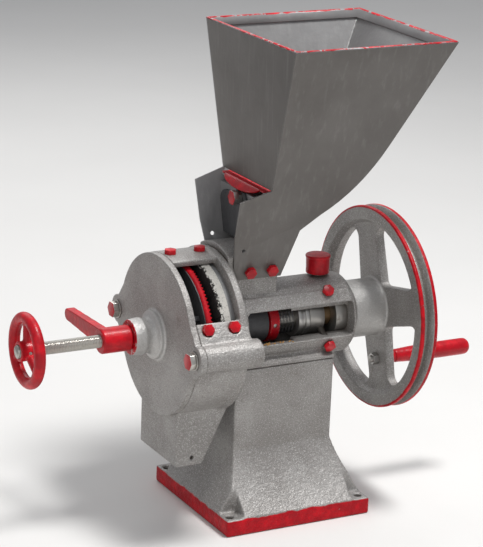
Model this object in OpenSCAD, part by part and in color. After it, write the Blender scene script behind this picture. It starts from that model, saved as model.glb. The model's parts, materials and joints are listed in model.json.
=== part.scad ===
// Hand grain mill with a belt pulley, a sheet metal hopper and a pedestal base.
// The shaft runs along X. The origin is the centre of the base's underside, the front is at -Y,
// the pulley is at +X and the grinding drum is at -X. All sizes are in millimetres.

/* [Pedestal] */
// Width of the square foot plate
base_w = 197; // [185:1:230]
// Thickness of the foot plate at its edge
base_t = 21; // [14:1:26]
// Distance from a bolt hole's centre to the foot plate's edge, along the shaft
base_hole_in_x = 9.5; // [8:0.5:14]
// Distance from a bolt hole's centre to the foot plate's edge, across the shaft
base_hole_in_y = 13.5; // [8:0.5:18]
// Diameter of the foot's bolt holes
base_hole_d = 10; // [8:0.5:13]
// Length of the column along the shaft
column_l = 135; // [124:1:140]
// Depth of the column across the shaft
column_d = 96; // [90:1:110]
// Height at which the flared foot runs into the column
flare_z = 88; // [70:1:110]
// Hollow of the flare below a straight line
flare_sag = 4; // [1:0.5:6]
// Height of the column's top face
column_h = 190; // [182:1:205]
// Thickness of the column's walls
column_wall = 10; // [7:1:14]
// Side of the flat seat cut for each foot bolt
seat_w = 24; // [18:1:28]

/* [Bearing housing] */
// Height of the shaft above the column's top face
saddle_h = 42.8; // [41:0.1:46]
// Radius of the bearing housing
housing_r = 50; // [48:0.5:54]
// Wall thickness of the bearing housing
housing_wall = 9; // [6:0.5:10]
// Distance from the middle of the foot to the drum's back face
housing_left = 79; // [77:0.5:84]
// Distance from the middle of the foot to the pulley end
housing_right = 104; // [100:1:112]
// Rounding of the pulley end of the housing
shoulder_r = 10; // [5:1:12]
// Left end of the inspection window
window_x0 = -52; // [-52:1:-44]
// Right end of the inspection window
window_x1 = 94; // [84:1:94]
// Lower edge of the inspection window, below the shaft
window_low = 15.8; // [12:0.2:20]
// Upper edge of the inspection window, above the shaft
window_high = 25.8; // [20:0.2:27]
// Distance from the middle of the foot to the step where the cavity narrows
cavity_step_x = 16; // [8:1:24]
// Radius of the narrow part of the cavity, round the thrust and rear bearings
cavity_small_r = 31; // [29.5:0.5:34]
// Wall thickness of the bulkhead behind the feed worm
bulkhead_t = 8; // [6:0.5:8]

/* [Feed neck] */
// Height of the neck's rounded top above the shaft
neck_h = 105.8; // [103:0.2:112]
// Left end of the open throat
throat_x0 = -43; // [-44:1:-40]
// Right end of the neck
neck_x1 = -5; // [-8:1:-2]
// Wall thickness of the neck
neck_wall = 7; // [5:0.5:9]

/* [Grinding drum] */
// Outer radius of the drum's shell
drum_r = 98; // [96:0.5:102]
// Wall thickness of the drum's shell
drum_wall = 8; // [6:0.5:8]
// Radius of the flange at the back of the drum
flange_r = 100; // [99:0.5:104]
// Thickness of the drum's back wall
drum_back_t = 9.5; // [8:0.5:12]
// Depth of the drum, from its back wall to the cover
drum_depth = 56.5; // [55:0.5:64]
// Angle of the drum window's lower edge above the horizontal
drum_window_a0 = 23; // [20:1:30]
// Angle of the drum window's upper edge above the horizontal
drum_window_a1 = 75; // [65:1:80]
// Radius of the eye that the grain is fed through
eye_r = 30; // [29.5:0.5:32]
// Half the distance between the two long cover bolts
cover_bolt_y = 105; // [104:0.5:108]
// Outer radius of the long bolt barrels
barrel_r = 17; // [14:0.5:18]
// Length of the barrels behind the drum's back face
barrel_tail = 9; // [6:0.5:10]
// Diameter of the cover bolts
cover_bolt_d = 12; // [10:1:14]

/* [Discharge chute] */
// Width of the chute across the shaft
chute_w = 100; // [90:1:104]
// Height of the chute's mouth above the ground
chute_z = 79; // [70:1:90]
// Length of the chute's mouth along the shaft
chute_mouth = 35; // [32:1:42]
// Wall thickness of the chute
chute_wall = 7; // [5:0.5:9]

/* [End cover] */
// Thickness of the cover's disc
cover_t = 8.3; // [6:0.1:11]
// Length of the boss in front of the disc
boss_l = 34; // [33:0.5:40]
// Radius of the boss at the disc
boss_r0 = 29.5; // [28:0.5:32]
// Radius of the boss at its front end
boss_r1 = 21; // [20:0.5:22]
// Radius of the bore that guides the thrust cup
cup_bore_r = 14; // [13:0.5:15]

/* [Stones and runner] */
// Outer radius of the fixed stone
stone_r = 89; // [86:0.5:89.5]
// Thickness of the fixed stone
stone_t = 19.5; // [16:0.5:20]
// Gap between the stones when the mill is slack
stone_gap = 9; // [5:0.5:9]
// Gap that stays when the stones are set closest
stone_clear = 0.3; // [0.2:0.1:1]
// Outer radius of the runner disc
runner_r = 84; // [80:0.5:84]
// Thickness of the runner's stone
runner_stone_t = 4.5; // [3:0.5:5]
// Thickness of the runner disc
runner_disc_t = 5; // [4:0.5:6]
// Length of the runner's hub
runner_hub_l = 15.5; // [12:0.5:15.5]
// Height of the ring's saw teeth
tooth_h = 2.6; // [1:0.1:2.8]
// Number of saw teeth round the ring
tooth_count = 112; // [80:2:200]

/* [Shaft] */
// Radius of the main shaft
shaft_r = 12.5; // [11:0.5:13]
// Radius of the shaft's threaded ends
shaft_end_r = 10; // [9:0.5:10]
// Outer radius of the bearing barrels and sleeves
barrel_bearing_r = 25; // [22:0.5:26]
// Length of the front bearing barrel
front_bearing_l = 42; // [36:1:42]
// Wall thickness of the bearing bushes
bush_t = 3; // [2:0.5:4]
// Running clearance of the shaft in its bushes
run_fit = 0.05; // [0.02:0.01:0.1]
// Clearance between parts that only have to pass
pass_fit = 0.3; // [0.2:0.1:0.5]
// Outer radius of the feed worm
worm_r = 27; // [25:0.5:28]

/* [Spring and thrust parts] */
// Left face of the spring collar
collar_x = -10; // [-10:1:-8]
// Thickness of the spring collar
collar_t = 12; // [10:0.5:14]
// Free length of the spring between its seats
spring_l = 28; // [27:0.5:32]
// Diameter of the spring's wire
wire_d = 2.4; // [1.8:0.2:2.4]
// Radius of the spring's coils, to the middle of the wire
coil_r = 19; // [17:0.5:21]
// Number of coils
coils = 5; // [4:1:5]
// Length of the thrust bearing
thrust_bearing_l = 16; // [12:0.5:18]
// Length of the fixed thrust sleeve
thrust_sleeve_l = 20; // [16:0.5:22]
// Thickness of the rear bearing's flange
rear_flange_t = 16; // [10:0.5:18]

/* [Pulley] */
// Outer radius of the belt pulley
pulley_r = 127; // [115:1:140]
// Width of the pulley's rim
rim_w = 23.5; // [20:0.5:30]
// Depth of the rim from its outer edge to its inside
rim_h = 22; // [18:1:26]
// Depth of the belt groove
groove_h = 11; // [8:0.5:13]
// Width of the belt groove at the rim's edge
groove_w = 13.5; // [10:0.5:15]
// Distance from the pulley hub's left face to the rim's left face
rim_offset = 36.1; // [30:0.1:40]
// Radius of the pulley's hub
hub_r = 36; // [30:0.5:40]
// Length of the pulley's hub
hub_l = 56; // [54:0.5:62]
// Width of a spoke at the hub
spoke_w0 = 50; // [36:1:50]
// Width of a spoke at the rim
spoke_w1 = 42; // [30:1:46]
// Thickness of a spoke
spoke_t = 12; // [9:0.5:14]
// Number of spokes
spoke_count = 4; // [3:1:5]
// Angle that the pulley stands at in the rest position
pulley_turn = 14.5; // [-45:0.5:45]

/* [Crank] */
// Radius of the crank pin's circle
crank_r = 66; // [60:1:80]
// Radius of the crank pin
crank_pin_r = 4.5; // [4:0.5:5]
// Length of the ferrule next to the spoke
ferrule_l = 12; // [8:0.5:16]
// Radius of the ferrule
ferrule_r = 9.5; // [8:0.5:11]
// Length of the turned grip
grip_l = 112; // [90:1:130]
// Largest radius of the grip
grip_r = 10.5; // [9:0.5:13]

/* [Adjusting screw] */
// Outer radius of the adjusting spindle
spindle_r = 7.8; // [6.5:0.1:7.8]
// Distance from the boss to the middle of the handwheel
wheel_reach = 129.7; // [110:0.1:140]
// Radius of the handwheel to the middle of its rim
wheel_r = 38.5; // [34:0.5:46]
// Radius of the handwheel's round rim
wheel_rim_r = 7; // [5:0.5:8]
// Radius of the handwheel's hub
wheel_hub_r = 12; // [11:0.5:14]
// Length of the lock nut
lock_nut_l = 38; // [28:1:44]
// Radius of the lock nut
lock_nut_r = 15.5; // [13:0.5:19]
// Length of the lock lever from the shaft's axis
lever_l = 114; // [80:1:130]
// Width of the lock lever at its root
lever_w0 = 23; // [16:0.5:26]
// Width of the lock lever near its tip
lever_w1 = 15; // [10:0.5:18]
// Thickness of the lock lever
lever_t = 11; // [7:0.5:14]

/* [Hopper] */
// Height of the hopper's mouth above the foot
mouth_z = 586; // [540:1:640]
// Left edge of the hopper's mouth
mouth_x0 = -41; // [-60:1:-40]
// Right edge of the hopper's mouth
mouth_x1 = 175.6; // [150:0.1:200]
// Half the width of the hopper's mouth
mouth_y = 112.5; // [100:0.5:130]
// Half the outer width of the hopper where its plates end
neck_y = 29.8; // [28:0.2:32]
// Height of the plates' lower edge above the shaft
plate_z = 64.6; // [62:0.2:68]
// Height above the shaft at which the left sheet ends
left_sheet_z = 180.2; // [178:0.2:186]
// Thickness of the hopper's sheet metal
sheet_t = 2; // [1.5:0.1:2]
// Depth of the edge that is folded down inside the mouth
rim_fold_w = 9; // [6:0.5:14]

/* [Feed gate] */
// Height of the gate's plate above the shaft
gate_z = 176.2; // [175:0.2:177]
// Thickness of the gate's plate
gate_t = 2; // [1.5:0.1:2.5]
// Half the width of the gate's plate
gate_y = 52; // [44:0.5:53]
// Travel of the gate from shut to open
gate_travel = 60; // [40:1:60]
// Depth of the gate's finger lip
lip_w = 12; // [8:0.5:12]
// Thickness of the feed flap
flap_t = 3; // [2:0.5:4]

/* [Grease cup] */
// Distance of the grease cup from the middle of the foot
cup_x = 66; // [60:1:74]
// Radius of the grease cup's cap at its top
cap_r = 15.5; // [12:0.5:18]
// Height of the cap
cap_h = 23; // [18:0.5:28]

/* [Hidden] */
$fn = 96;
cut = 60;
// Depth by which a rounding bites into the face beside it, so that none is only tangent
bite = 0.15;

// Places along the shaft and heights, all from the sizes above
shaft_z = column_h + saddle_h;
house_x0 = -housing_left;
house_x1 = housing_right;
drum_back_x = house_x0 - drum_back_t;
cover_back_x = drum_back_x - drum_depth;
cover_front_x = cover_back_x - cover_t;
boss_x = cover_front_x - boss_l;
stone_face_x = drum_back_x - stone_t;
runner_face_x = stone_face_x - stone_gap;
close_travel = stone_gap - stone_clear;
runner_disc_x1 = runner_face_x - runner_stone_t;
runner_disc_x0 = runner_disc_x1 - runner_disc_t;
runner_hub_x = runner_disc_x0 - runner_hub_l;
shaft_end_x = runner_hub_x - 16;
nut_t = 7;
bulkhead_x0 = window_x0 - 2;
bulkhead_x1 = bulkhead_x0 + bulkhead_t;
collar_x1 = collar_x + collar_t;
spring_x1 = collar_x1 + spring_l;
thrust_x1 = spring_x1 + thrust_bearing_l;
sleeve_x1 = thrust_x1 + thrust_sleeve_l;
set_screw_x = sleeve_x1 - 4.5;
end_wall_x = house_x1 - shoulder_r + 0.5;
hub_x0 = house_x1 + 0.5;
hub_x1 = hub_x0 + hub_l;
rim_x0 = hub_x0 + rim_offset;
spoke_x0 = rim_x0 + 7.5;
spoke_x1 = spoke_x0 + spoke_t;
shaft_right_x = hub_x1 + 18;
housing_in_r = housing_r - housing_wall;
drum_in_r = drum_r - drum_wall;

// Ball between the thrust cup and the end of the shaft
ball_r = 6;
ball_x = shaft_end_x - 1;
cup_x1 = ball_x - 1;
cup_l = 12;
cup_x0 = cup_x1 - cup_l;
cup_bore_x1 = cover_back_x - 5;
cup_bore_x0 = cup_x0 - 3;
nut_recess_r = 20;
wheel_x = boss_x - wheel_reach;
lock_x1 = boss_x - pass_fit;
lock_x0 = lock_x1 - lock_nut_l;

// Hopper plates lean outwards; w(z) is half the outer width of the hopper at height z
plate_low_z = shaft_z + plate_z;
left_low_z = shaft_z + left_sheet_z;
lean = atan((mouth_y - neck_y) / (mouth_z - plate_low_z));
sheet_y = sheet_t / cos(lean);
function w(z) = mouth_y - (mouth_z - z) * tan(lean);
function w_in(z) = w(z) - sheet_y;

// Right-hand sheet of the hopper in the XZ plane, from the neck to the mouth
heel_x = 12;
heel_up = 124;
belly0_x = 36;
belly0_up = 142.2;
belly_c_x = 84;
belly_c_up = 171.2;
belly1_x = 112;
belly1_up = 227.2;
foot_over = 2.6;
left_inset = 4;
tongue_reach = 76.5;
heel = [heel_x, shaft_z + heel_up];
belly0 = [belly0_x, shaft_z + belly0_up];
belly_c = [belly_c_x, shaft_z + belly_c_up];
belly1 = [belly1_x, shaft_z + belly1_up];
neck_foot = [neck_x1 + foot_over, plate_low_z];
left_low_x = mouth_x0 + left_inset;
tongue_x = -tongue_reach;
function bezier(a, b, c, t) = (1 - t) * (1 - t) * a + 2 * t * (1 - t) * b + t * t * c;
belly_steps = 8;
right_line = concat(
    [neck_foot, heel],
    [for (i = [0:belly_steps]) bezier(belly0, belly_c, belly1, i / belly_steps)],
    [[mouth_x1, mouth_z]]);

// Bolt heads: width across flats and height
function hex_r(across) = across / 2 / cos(30);
m8_flats = 13;
m8_head = 5.5;
m12_flats = cover_bolt_d * 1.5;
m12_head = cover_bolt_d * 0.62;

silver = [0.62, 0.62, 0.63];
red = [0.75, 0.05, 0.08];
dark = [0.16, 0.17, 0.18];
steel = [0.55, 0.54, 0.50];
bronze = [0.66, 0.48, 0.22];
stone_white = [0.72, 0.70, 0.64];

// Puts a shape drawn in its own XY plane across the shaft: its X is +Y, its Y is +Z, its Z is +X
module on_shaft(x = 0, turn = 0) {
    translate([x, 0, shaft_z]) rotate([90, 0, 90]) rotate([0, 0, turn]) children();
}

// Round bar or disc on the shaft's axis
module disc(x0, x1, r) {
    on_shaft(x0) cylinder(h = x1 - x0, r = r);
}

// Ring on the shaft's axis
module ring(x0, x1, r_out, r_in) {
    difference() {
        disc(x0, x1, r_out);
        disc(x0 - 1, x1 + 1, r_in);
    }
}

// Shape in the XZ plane pushed out evenly to both sides of the middle, w wide across Y
module across(width) {
    translate([0, width / 2, 0]) rotate([90, 0, 0]) linear_extrude(width) children();
}

// Hexagon prism along Z
module hex_bar(across_flats, h) {
    cylinder(h = h, r = hex_r(across_flats), $fn = 6);
}

// Hexagon bolt along Z: the head's underside is at 0, the shank goes down to -l
module hex_bolt(across_flats, head_h, d, l) {
    hex_bar(across_flats, head_h);
    translate([0, 0, -l]) cylinder(h = l + 0.5, d = d);
}

// Turns Z to point outwards from the shaft at an angle above the front horizontal
module radial_front(x, r, angle) {
    translate([x, 0, shaft_z]) rotate([-angle, 0, 0]) rotate([90, 0, 0])
        translate([0, 0, r]) children();
}

// Flared foot seen from one side: a chord from the column to the plate, hollowed by a large circle
module flare_profile(top, foot) {
    run = foot - top;
    drop = flare_z - base_t;
    chord = sqrt(run * run + drop * drop);
    big_r = (chord * chord / 4 + flare_sag * flare_sag) / (2 * flare_sag);
    centre = [(top + foot) / 2 + drop / chord * (big_r - flare_sag),
        (flare_z + base_t) / 2 + run / chord * (big_r - flare_sag)];
    difference() {
        translate([-foot, base_t - 1]) square([2 * foot, flare_z - base_t + 1]);
        for (s = [-1, 1])
            translate([s * centre[0], centre[1]]) circle(r = big_r, $fn = 360);
    }
}

// Four places of a rectangle around the middle
module four(dx, dy) {
    for (sx = [-1, 1], sy = [-1, 1])
        translate([sx * dx / 2, sy * dy / 2, 0]) children();
}

foot_edge = base_w / 2 - 0.5;
base_hole_x = base_w - 2 * base_hole_in_x;
base_hole_y = base_w - 2 * base_hole_in_y;
top_plate_t = 12;
inner_bolt_x = column_l - 2 * column_wall - 24;
inner_bolt_y = column_d - 2 * column_wall - 22;
inner_bolt_d = 10;

module pedestal() {
    color(silver) difference() {
        union() {
            translate([-base_w / 2, -base_w / 2, 0]) cube([base_w, base_w, base_t]);
            translate([-column_l / 2, -column_d / 2, 0]) cube([column_l, column_d, column_h]);
            intersection() {
                across(base_w) flare_profile(column_l / 2 - bite, foot_edge);
                rotate([0, 0, 90]) across(base_w) flare_profile(column_d / 2 - bite, foot_edge);
            }
        }
        // Hollow underside of the casting
        translate([-column_l / 2 + column_wall, -column_d / 2 + column_wall, -1])
            cube([column_l - 2 * column_wall, column_d - 2 * column_wall,
                column_h - top_plate_t + 1]);
        // Flat seats and holes for the foot bolts
        four(base_hole_x, base_hole_y) {
            translate([0, 0, -1]) cylinder(h = base_t + 2, d = base_hole_d);
        }
        for (sx = [-1, 1], sy = [-1, 1])
            translate([sx > 0 ? base_w / 2 - seat_w : -base_w / 2 - 1,
                sy > 0 ? base_w / 2 - seat_w - 2 : -base_w / 2 - 1, base_t])
                cube([seat_w + 1, seat_w + 3, cut]);
        four(inner_bolt_x, inner_bolt_y)
            translate([0, 0, column_h - top_plate_t - 1])
                cylinder(h = top_plate_t + 2, d = inner_bolt_d + 1);
    }
}

inner_bolt_l = top_plate_t + 9;

module pedestal_bolts() {
    color(steel) four(inner_bolt_x, inner_bolt_y)
        translate([0, 0, column_h - top_plate_t]) mirror([0, 0, 1])
            hex_bolt(inner_bolt_d * 1.6, 6.4, inner_bolt_d, inner_bolt_l);
}

// Outside of the housing as a revolved shape with a round shoulder at the pulley end
module housing_body() {
    length = house_x1 - house_x0;
    on_shaft(house_x0) rotate_extrude() {
        square([housing_r, length - shoulder_r - 4]);
        translate([housing_r - shoulder_r, length - shoulder_r - 4]) circle(r = shoulder_r);
        square([housing_r - shoulder_r, length - 4]);
        square([hub_r - 3, length]);
    }
}

// Flat pad along the housing between two angles above the front horizontal
module housing_pad(x0, x1, a0, a1, r) {
    inner = housing_in_r + 1;
    on_shaft(x0) linear_extrude(x1 - x0) polygon([
        [-inner * cos(a0), inner * sin(a0)], [-r * cos(a0), r * sin(a0)],
        [-r * cos(a1), r * sin(a1)], [-inner * cos(a1), inner * sin(a1)]]);
}

// Foot of the housing, which coves out to the column's width at its underside
saddle_half = 38;
saddle_flange = 5;
cove_big_r = 10;
module saddle() {
    half = column_d / 2;
    cove_r = min(cove_big_r, half - saddle_half);
    foot = saddle_half + cove_r;
    cove = arc_points([foot, saddle_flange + cove_r], cove_r, 270, 180, 10);
    edge = half > foot + 0.01 ? [[half, saddle_flange]] : [];
    side = concat([[half, -1]], edge, cove, [[saddle_half, saddle_h]]);
    translate([0, 0, column_h]) rotate([90, 0, 90]) translate([0, 0, -column_l / 2])
        linear_extrude(column_l)
            polygon(concat(side, [for (i = [len(side) - 1:-1:0]) [-side[i][0], side[i][1]]]));
}

// Outline of the neck across the shaft, which fits between the hopper's leaning plates
neck_foot_y = 26;
neck_top_r = 76;
neck_top_z = shaft_z + neck_h;
neck_over_z = neck_top_z + 2;
module neck_section() {
    intersection() {
        polygon([[-neck_foot_y, shaft_z + 25], [neck_foot_y, shaft_z + 25],
            [w_in(plate_low_z), plate_low_z], [w_in(neck_over_z), neck_over_z],
            [-w_in(neck_over_z), neck_over_z], [-w_in(plate_low_z), plate_low_z]]);
        translate([0, neck_top_z - neck_top_r]) circle(r = neck_top_r);
    }
}

// Neck casting: its right side leans like the foot of the hopper's bottom sheet
module neck() {
    lean_x = (heel[0] - neck_foot[0]) / (heel[1] - neck_foot[1]) * (neck_over_z - plate_low_z);
    intersection() {
        translate([house_x0, 0, 0]) rotate([90, 0, 90])
            linear_extrude(neck_x1 + 30 - house_x0) neck_section();
        across(2 * mouth_y) polygon([[house_x0 + 1, shaft_z], [neck_x1, shaft_z],
            [neck_x1, plate_low_z], [neck_x1 + lean_x, neck_over_z],
            [house_x0 + 1, neck_over_z]]);
    }
}

// The way of the grain: down from the hopper, then to the left into the worm's chamber
module throat() {
    half = w_in(plate_low_z) - neck_wall;
    across(2 * half) polygon([[throat_x0, neck_over_z + 1], [neck_x1 - neck_wall, neck_over_z + 1],
        [neck_x1 - neck_wall, plate_low_z + 8], [bulkhead_x1, shaft_z + housing_r - 3],
        [bulkhead_x0 - 1, shaft_z + eye_r - 6],
        [bulkhead_x0 - 2, shaft_z + 8], [house_x0 + 8, shaft_z + 8],
        [house_x0 + 8, plate_low_z - 8]]);
}

// Inspection window with a large round corner next to the drum
window_big_r = 14;
window_small_r = 4;
module housing_window() {
    low = shaft_z - window_low;
    high = shaft_z + window_high;
    big = window_big_r;
    small = window_small_r;
    translate([0, 14 - housing_in_r, 0]) rotate([90, 0, 0]) linear_extrude(cut)
        polygon(concat(
            arc_points([window_x0 + big, low + big], big, 180, 270, 10),
            arc_points([window_x1 - small, low + small], small, 270, 360, 5),
            arc_points([window_x1 - small, high - small], small, 0, 90, 5),
            arc_points([window_x0 + small, high - small], small, 90, 180, 5)));
}

pad_x1 = house_x1 - shoulder_r - 2;
set_screw_angles = [48.6, -30.5];
set_screw_d = 8;

module bearing_housing() {
    color(silver) difference() {
        union() {
            housing_body();
            saddle();
            housing_pad(house_x0 + 0.5, pad_x1, asin(window_high / housing_r) - 3, 52,
                housing_r + 1.5);
            housing_pad(bulkhead_x0, pad_x1, -52,
                3 - asin(window_low / housing_r), housing_r + 1.5);
            neck();
        }
        // Flat underside that seats on the column
        translate([-column_l / 2 - pass_fit, -column_d, 0])
            cube([column_l + 2 * pass_fit, 2 * column_d, column_h]);
        disc(house_x0 - 1, bulkhead_x0, eye_r);
        disc(bulkhead_x0 - 1, bulkhead_x1 + 1, barrel_bearing_r + run_fit);
        disc(bulkhead_x1, cavity_step_x, housing_in_r);
        disc(cavity_step_x - 1, end_wall_x, cavity_small_r);
        disc(end_wall_x - 1, house_x1 + 1, barrel_bearing_r + run_fit);
        throat();
        housing_window();
        for (a = set_screw_angles)
            radial_front(set_screw_x, cavity_small_r - 3, a)
                cylinder(h = 40, d = set_screw_d + 2 * run_fit);
        translate([cup_x, 0, stem_z0]) cylinder(h = 30, d = stem_d + 2 * run_fit);
        translate([cup_x, 0, shaft_z + cavity_small_r - 2]) cylinder(h = 30, d = 4);
        four(inner_bolt_x, inner_bolt_y) translate([0, 0, column_h - 1])
            cylinder(h = inner_bolt_l - top_plate_t + 2, d = inner_bolt_d + 2 * run_fit);
        for (s = [-1, 1], x = hopper_bolt_x)
            hopper_bolt_place(x, s) translate([0, 0, -sheet_t - hopper_bolt_l])
                cylinder(h = hopper_bolt_l + 1, d = hopper_bolt_d + 2 * run_fit);
    }
}

// Slot between two angles, on the front of the drum
module drum_window() {
    far = flange_r + 30;
    near = drum_in_r - 6;
    on_shaft(cover_back_x - 1) linear_extrude(drum_depth + 1) polygon([
        [-near * cos(drum_window_a0), near * sin(drum_window_a0)],
        [-far * cos(drum_window_a0), far * sin(drum_window_a0)],
        [-far * cos(45), far], [-far * cos(drum_window_a1), far * sin(drum_window_a1)],
        [-near * cos(drum_window_a1), near * sin(drum_window_a1)]]);
}

// Long barrel for a cover bolt, with a web that blends it into the drum
module barrel(s) {
    on_shaft(cover_back_x) {
        translate([s * cover_bolt_y, 0])
            cylinder(h = house_x0 + barrel_tail - cover_back_x, r = barrel_r);
        linear_extrude(house_x0 - cover_back_x)
            polygon([[s * (cover_bolt_y - 20), -barrel_r - 10], [s * cover_bolt_y, -barrel_r],
                [s * cover_bolt_y, barrel_r], [s * (cover_bolt_y - 14), barrel_r + 20],
                [s * (cover_bolt_y - 20), barrel_r + 18]]);
    }
}

chute_slope_x = -column_l / 2 - 0.5;
chute_slope_z = column_h - 20;
chute_top_z = shaft_z - housing_r - 0.5;
chute_mouth_x = cover_back_x + chute_mouth;

module drum_casing() {
    lean_in = chute_wall * 1.1;
    color(silver) difference() {
        union() {
            disc(cover_back_x, drum_back_x + 1, drum_r);
            disc(drum_back_x, house_x0, flange_r);
            for (s = [-1, 1])
                barrel(s);
            across(chute_w) polygon([[cover_back_x, chute_z], [chute_mouth_x, chute_z],
                [chute_slope_x, chute_slope_z], [chute_slope_x, chute_top_z],
                [house_x0 - 1, chute_top_z], [house_x0 - 1, shaft_z - 20],
                [cover_back_x, shaft_z - 20]]);
        }
        disc(cover_back_x - 1, drum_back_x, drum_in_r);
        disc(drum_back_x - 1, house_x0 + 1, eye_r);
        // Inside of the chute, open below and into the drum above
        across(chute_w - 2 * chute_wall) polygon([[cover_back_x + chute_wall, chute_z - 1],
            [chute_mouth_x - lean_in, chute_z - 1], [drum_back_x, chute_z + 58],
            [drum_back_x, shaft_z - 50], [cover_back_x + chute_wall, shaft_z - 50]]);
        drum_window();
        // The long bolts pass freely and are held by the thread in the barrels' ends
        for (s = [-1, 1]) {
            on_shaft(cover_back_x - 1) translate([s * cover_bolt_y, 0])
                cylinder(h = drum_depth + 1, d = cover_bolt_d + 0.6);
            on_shaft(drum_back_x - 1) translate([s * cover_bolt_y, 0])
                cylinder(h = drum_back_t + barrel_tail + 2, d = cover_bolt_d + 2 * run_fit);
        }
        window_screw_places() {
            translate([0, 0, -drum_wall - 1])
                cylinder(h = drum_wall + 2, d = window_screw_d + 2 * run_fit);
            cylinder(h = 20, r = spot_face_r);
        }
        stone_screw_places() translate([0, 0, -3]) cylinder(h = 20, d = 6.6);
        // Sampling hole low in the front of the chute
        translate([cover_back_x + 21, -chute_w / 2 - 1, chute_z + 10]) rotate([-90, 0, 0])
            cylinder(h = chute_wall + 2, d = 5);
    }
}

window_screw_d = 8;
window_screw_inset = 9;
spot_face_r = 8;
spot_face_depth = 0.3;
// Two screws on the top bar and two on the ledge under the window, each on a small flat
module window_screw_places() {
    r = drum_r - spot_face_depth;
    for (x = [cover_back_x + window_screw_inset, drum_back_x - window_screw_inset])
        radial_front(x, r, 90) children();
    for (x = [cover_back_x + 1.5 * window_screw_inset, drum_back_x - window_screw_inset])
        radial_front(x, r, drum_window_a0 - 4.5) children();
}

module window_screws() {
    color(red) window_screw_places() hex_bolt(m8_flats, m8_head, window_screw_d, drum_wall);
}

stone_screw_angles = [20, 160, 215, 325];
stone_screw_r = 60;
module stone_screw_places() {
    for (a = stone_screw_angles)
        on_shaft(house_x0, a)
            translate([stone_screw_r, 0, -drum_back_t]) children();
}

// Screws that hold the fixed stone, put in from behind the drum's back wall
module stone_screws() {
    color(steel) stone_screw_places() translate([0, 0, drum_back_t])
        hex_bolt(10, 4, 6, drum_back_t + 8);
}

module fixed_stone() {
    color(stone_white) difference() {
        ring(stone_face_x, drum_back_x, stone_r, eye_r + 4);
        stone_screw_places() translate([0, 0, -9]) cylinder(h = 10, d = 6 + 2 * run_fit);
    }
}

module end_cover() {
    lug_r = barrel_r + 1;
    boss_flare_r = boss_r0 - boss_r1;
    boss_taper = 3.5;
    color(silver) difference() {
        union() {
            disc(cover_front_x, cover_back_x, drum_r - 0.3);
            ring(cover_back_x - 1, cover_back_x + 3, drum_in_r - pass_fit,
                drum_in_r - pass_fit - 4);
            on_shaft(cover_front_x) for (s = [-1, 1]) {
                translate([s * cover_bolt_y, 0]) cylinder(h = cover_t, r = lug_r);
                linear_extrude(cover_t) polygon([[s * (cover_bolt_y - 20), -lug_r - 18],
                    [s * (cover_bolt_y - 14), -lug_r - 18], [s * cover_bolt_y, -lug_r],
                    [s * cover_bolt_y, lug_r], [s * (cover_bolt_y - 14), lug_r + 18],
                    [s * (cover_bolt_y - 20), lug_r + 18]]);
            }
            // Boss, which flares out to the disc along a quarter round
            on_shaft(boss_x) rotate_extrude() difference() {
                union() {
                    polygon([[0, 0], [boss_r1, 0], [boss_r1 + boss_taper, boss_l - boss_flare_r],
                        [boss_r1 + boss_taper, boss_l + 1], [0, boss_l + 1]]);
                    translate([0, boss_l - boss_flare_r - 6])
                        square([boss_r0, boss_flare_r + 7]);
                }
                translate([boss_r0, boss_l - boss_flare_r - 6]) circle(r = boss_flare_r);
            }
        }
        disc(boss_x - 1, cup_bore_x0 + 1, spindle_r + run_fit);
        disc(cup_bore_x0, cup_bore_x1 + 1, cup_bore_r);
        disc(cup_bore_x1, cover_back_x + 4, nut_recess_r);
        on_shaft(cover_front_x - 1) for (s = [-1, 1])
            translate([s * cover_bolt_y, 0]) cylinder(h = cover_t + 2, d = cover_bolt_d + 0.6);
    }
}

cover_washer_t = 2;
cover_bolt_over = 5;
module cover_bolts() {
    shank = cover_washer_t + cover_t + drum_depth + drum_back_t + barrel_tail
        + cover_bolt_over;
    color(red) for (s = [-1, 1])
        on_shaft(cover_front_x - cover_washer_t) translate([s * cover_bolt_y, 0])
            mirror([0, 0, 1]) hex_bolt(m12_flats, m12_head, cover_bolt_d, shank);
}

module cover_washers() {
    color(steel) for (s = [-1, 1])
        on_shaft(cover_front_x - cover_washer_t) translate([s * cover_bolt_y, 0]) difference() {
            cylinder(h = cover_washer_t, d = cover_bolt_d * 1.9);
            translate([0, 0, -1]) cylinder(h = cover_washer_t + 2, d = cover_bolt_d + 0.4);
        }
}

// Barrel that carries a bush, seated in a bulkhead or an end wall
module bearing_barrel(x0, x1) {
    ring(x0, x1, barrel_bearing_r, shaft_r + bush_t + 2 * run_fit);
}

module bush(x0, x1) {
    ring(x0, x1, shaft_r + bush_t + run_fit, shaft_r + run_fit);
}

module front_bearing() {
    color(dark) bearing_barrel(bulkhead_x0, bulkhead_x0 + front_bearing_l);
}

module front_bush() {
    color(bronze) bush(bulkhead_x0, bulkhead_x0 + front_bearing_l);
}

// Rear bearing, whose wide flange lies in the cavity against the end wall
module rear_bearing() {
    flange_x0 = end_wall_x - rear_flange_t;
    color(steel) difference() {
        union() {
            disc(flange_x0, end_wall_x, cavity_small_r - pass_fit);
            disc(flange_x0, house_x1, barrel_bearing_r);
        }
        disc(flange_x0 - 1, house_x1 + 1, shaft_r + bush_t + 2 * run_fit);
    }
}

module rear_bush() {
    color(bronze) bush(sleeve_x1 + pass_fit, house_x1);
}

// Two races with a waist between them
module thrust_bearing() {
    waist = thrust_bearing_l / 4;
    color(steel) difference() {
        ring(spring_x1, thrust_x1, barrel_bearing_r - 1, shaft_r + pass_fit);
        ring(spring_x1 + 1.5 * waist, thrust_x1 - 1.5 * waist, barrel_bearing_r + 1,
            barrel_bearing_r - 3);
    }
}

module thrust_sleeve() {
    color(steel) ring(thrust_x1, sleeve_x1, barrel_bearing_r - 1, shaft_r + pass_fit);
}

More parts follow.
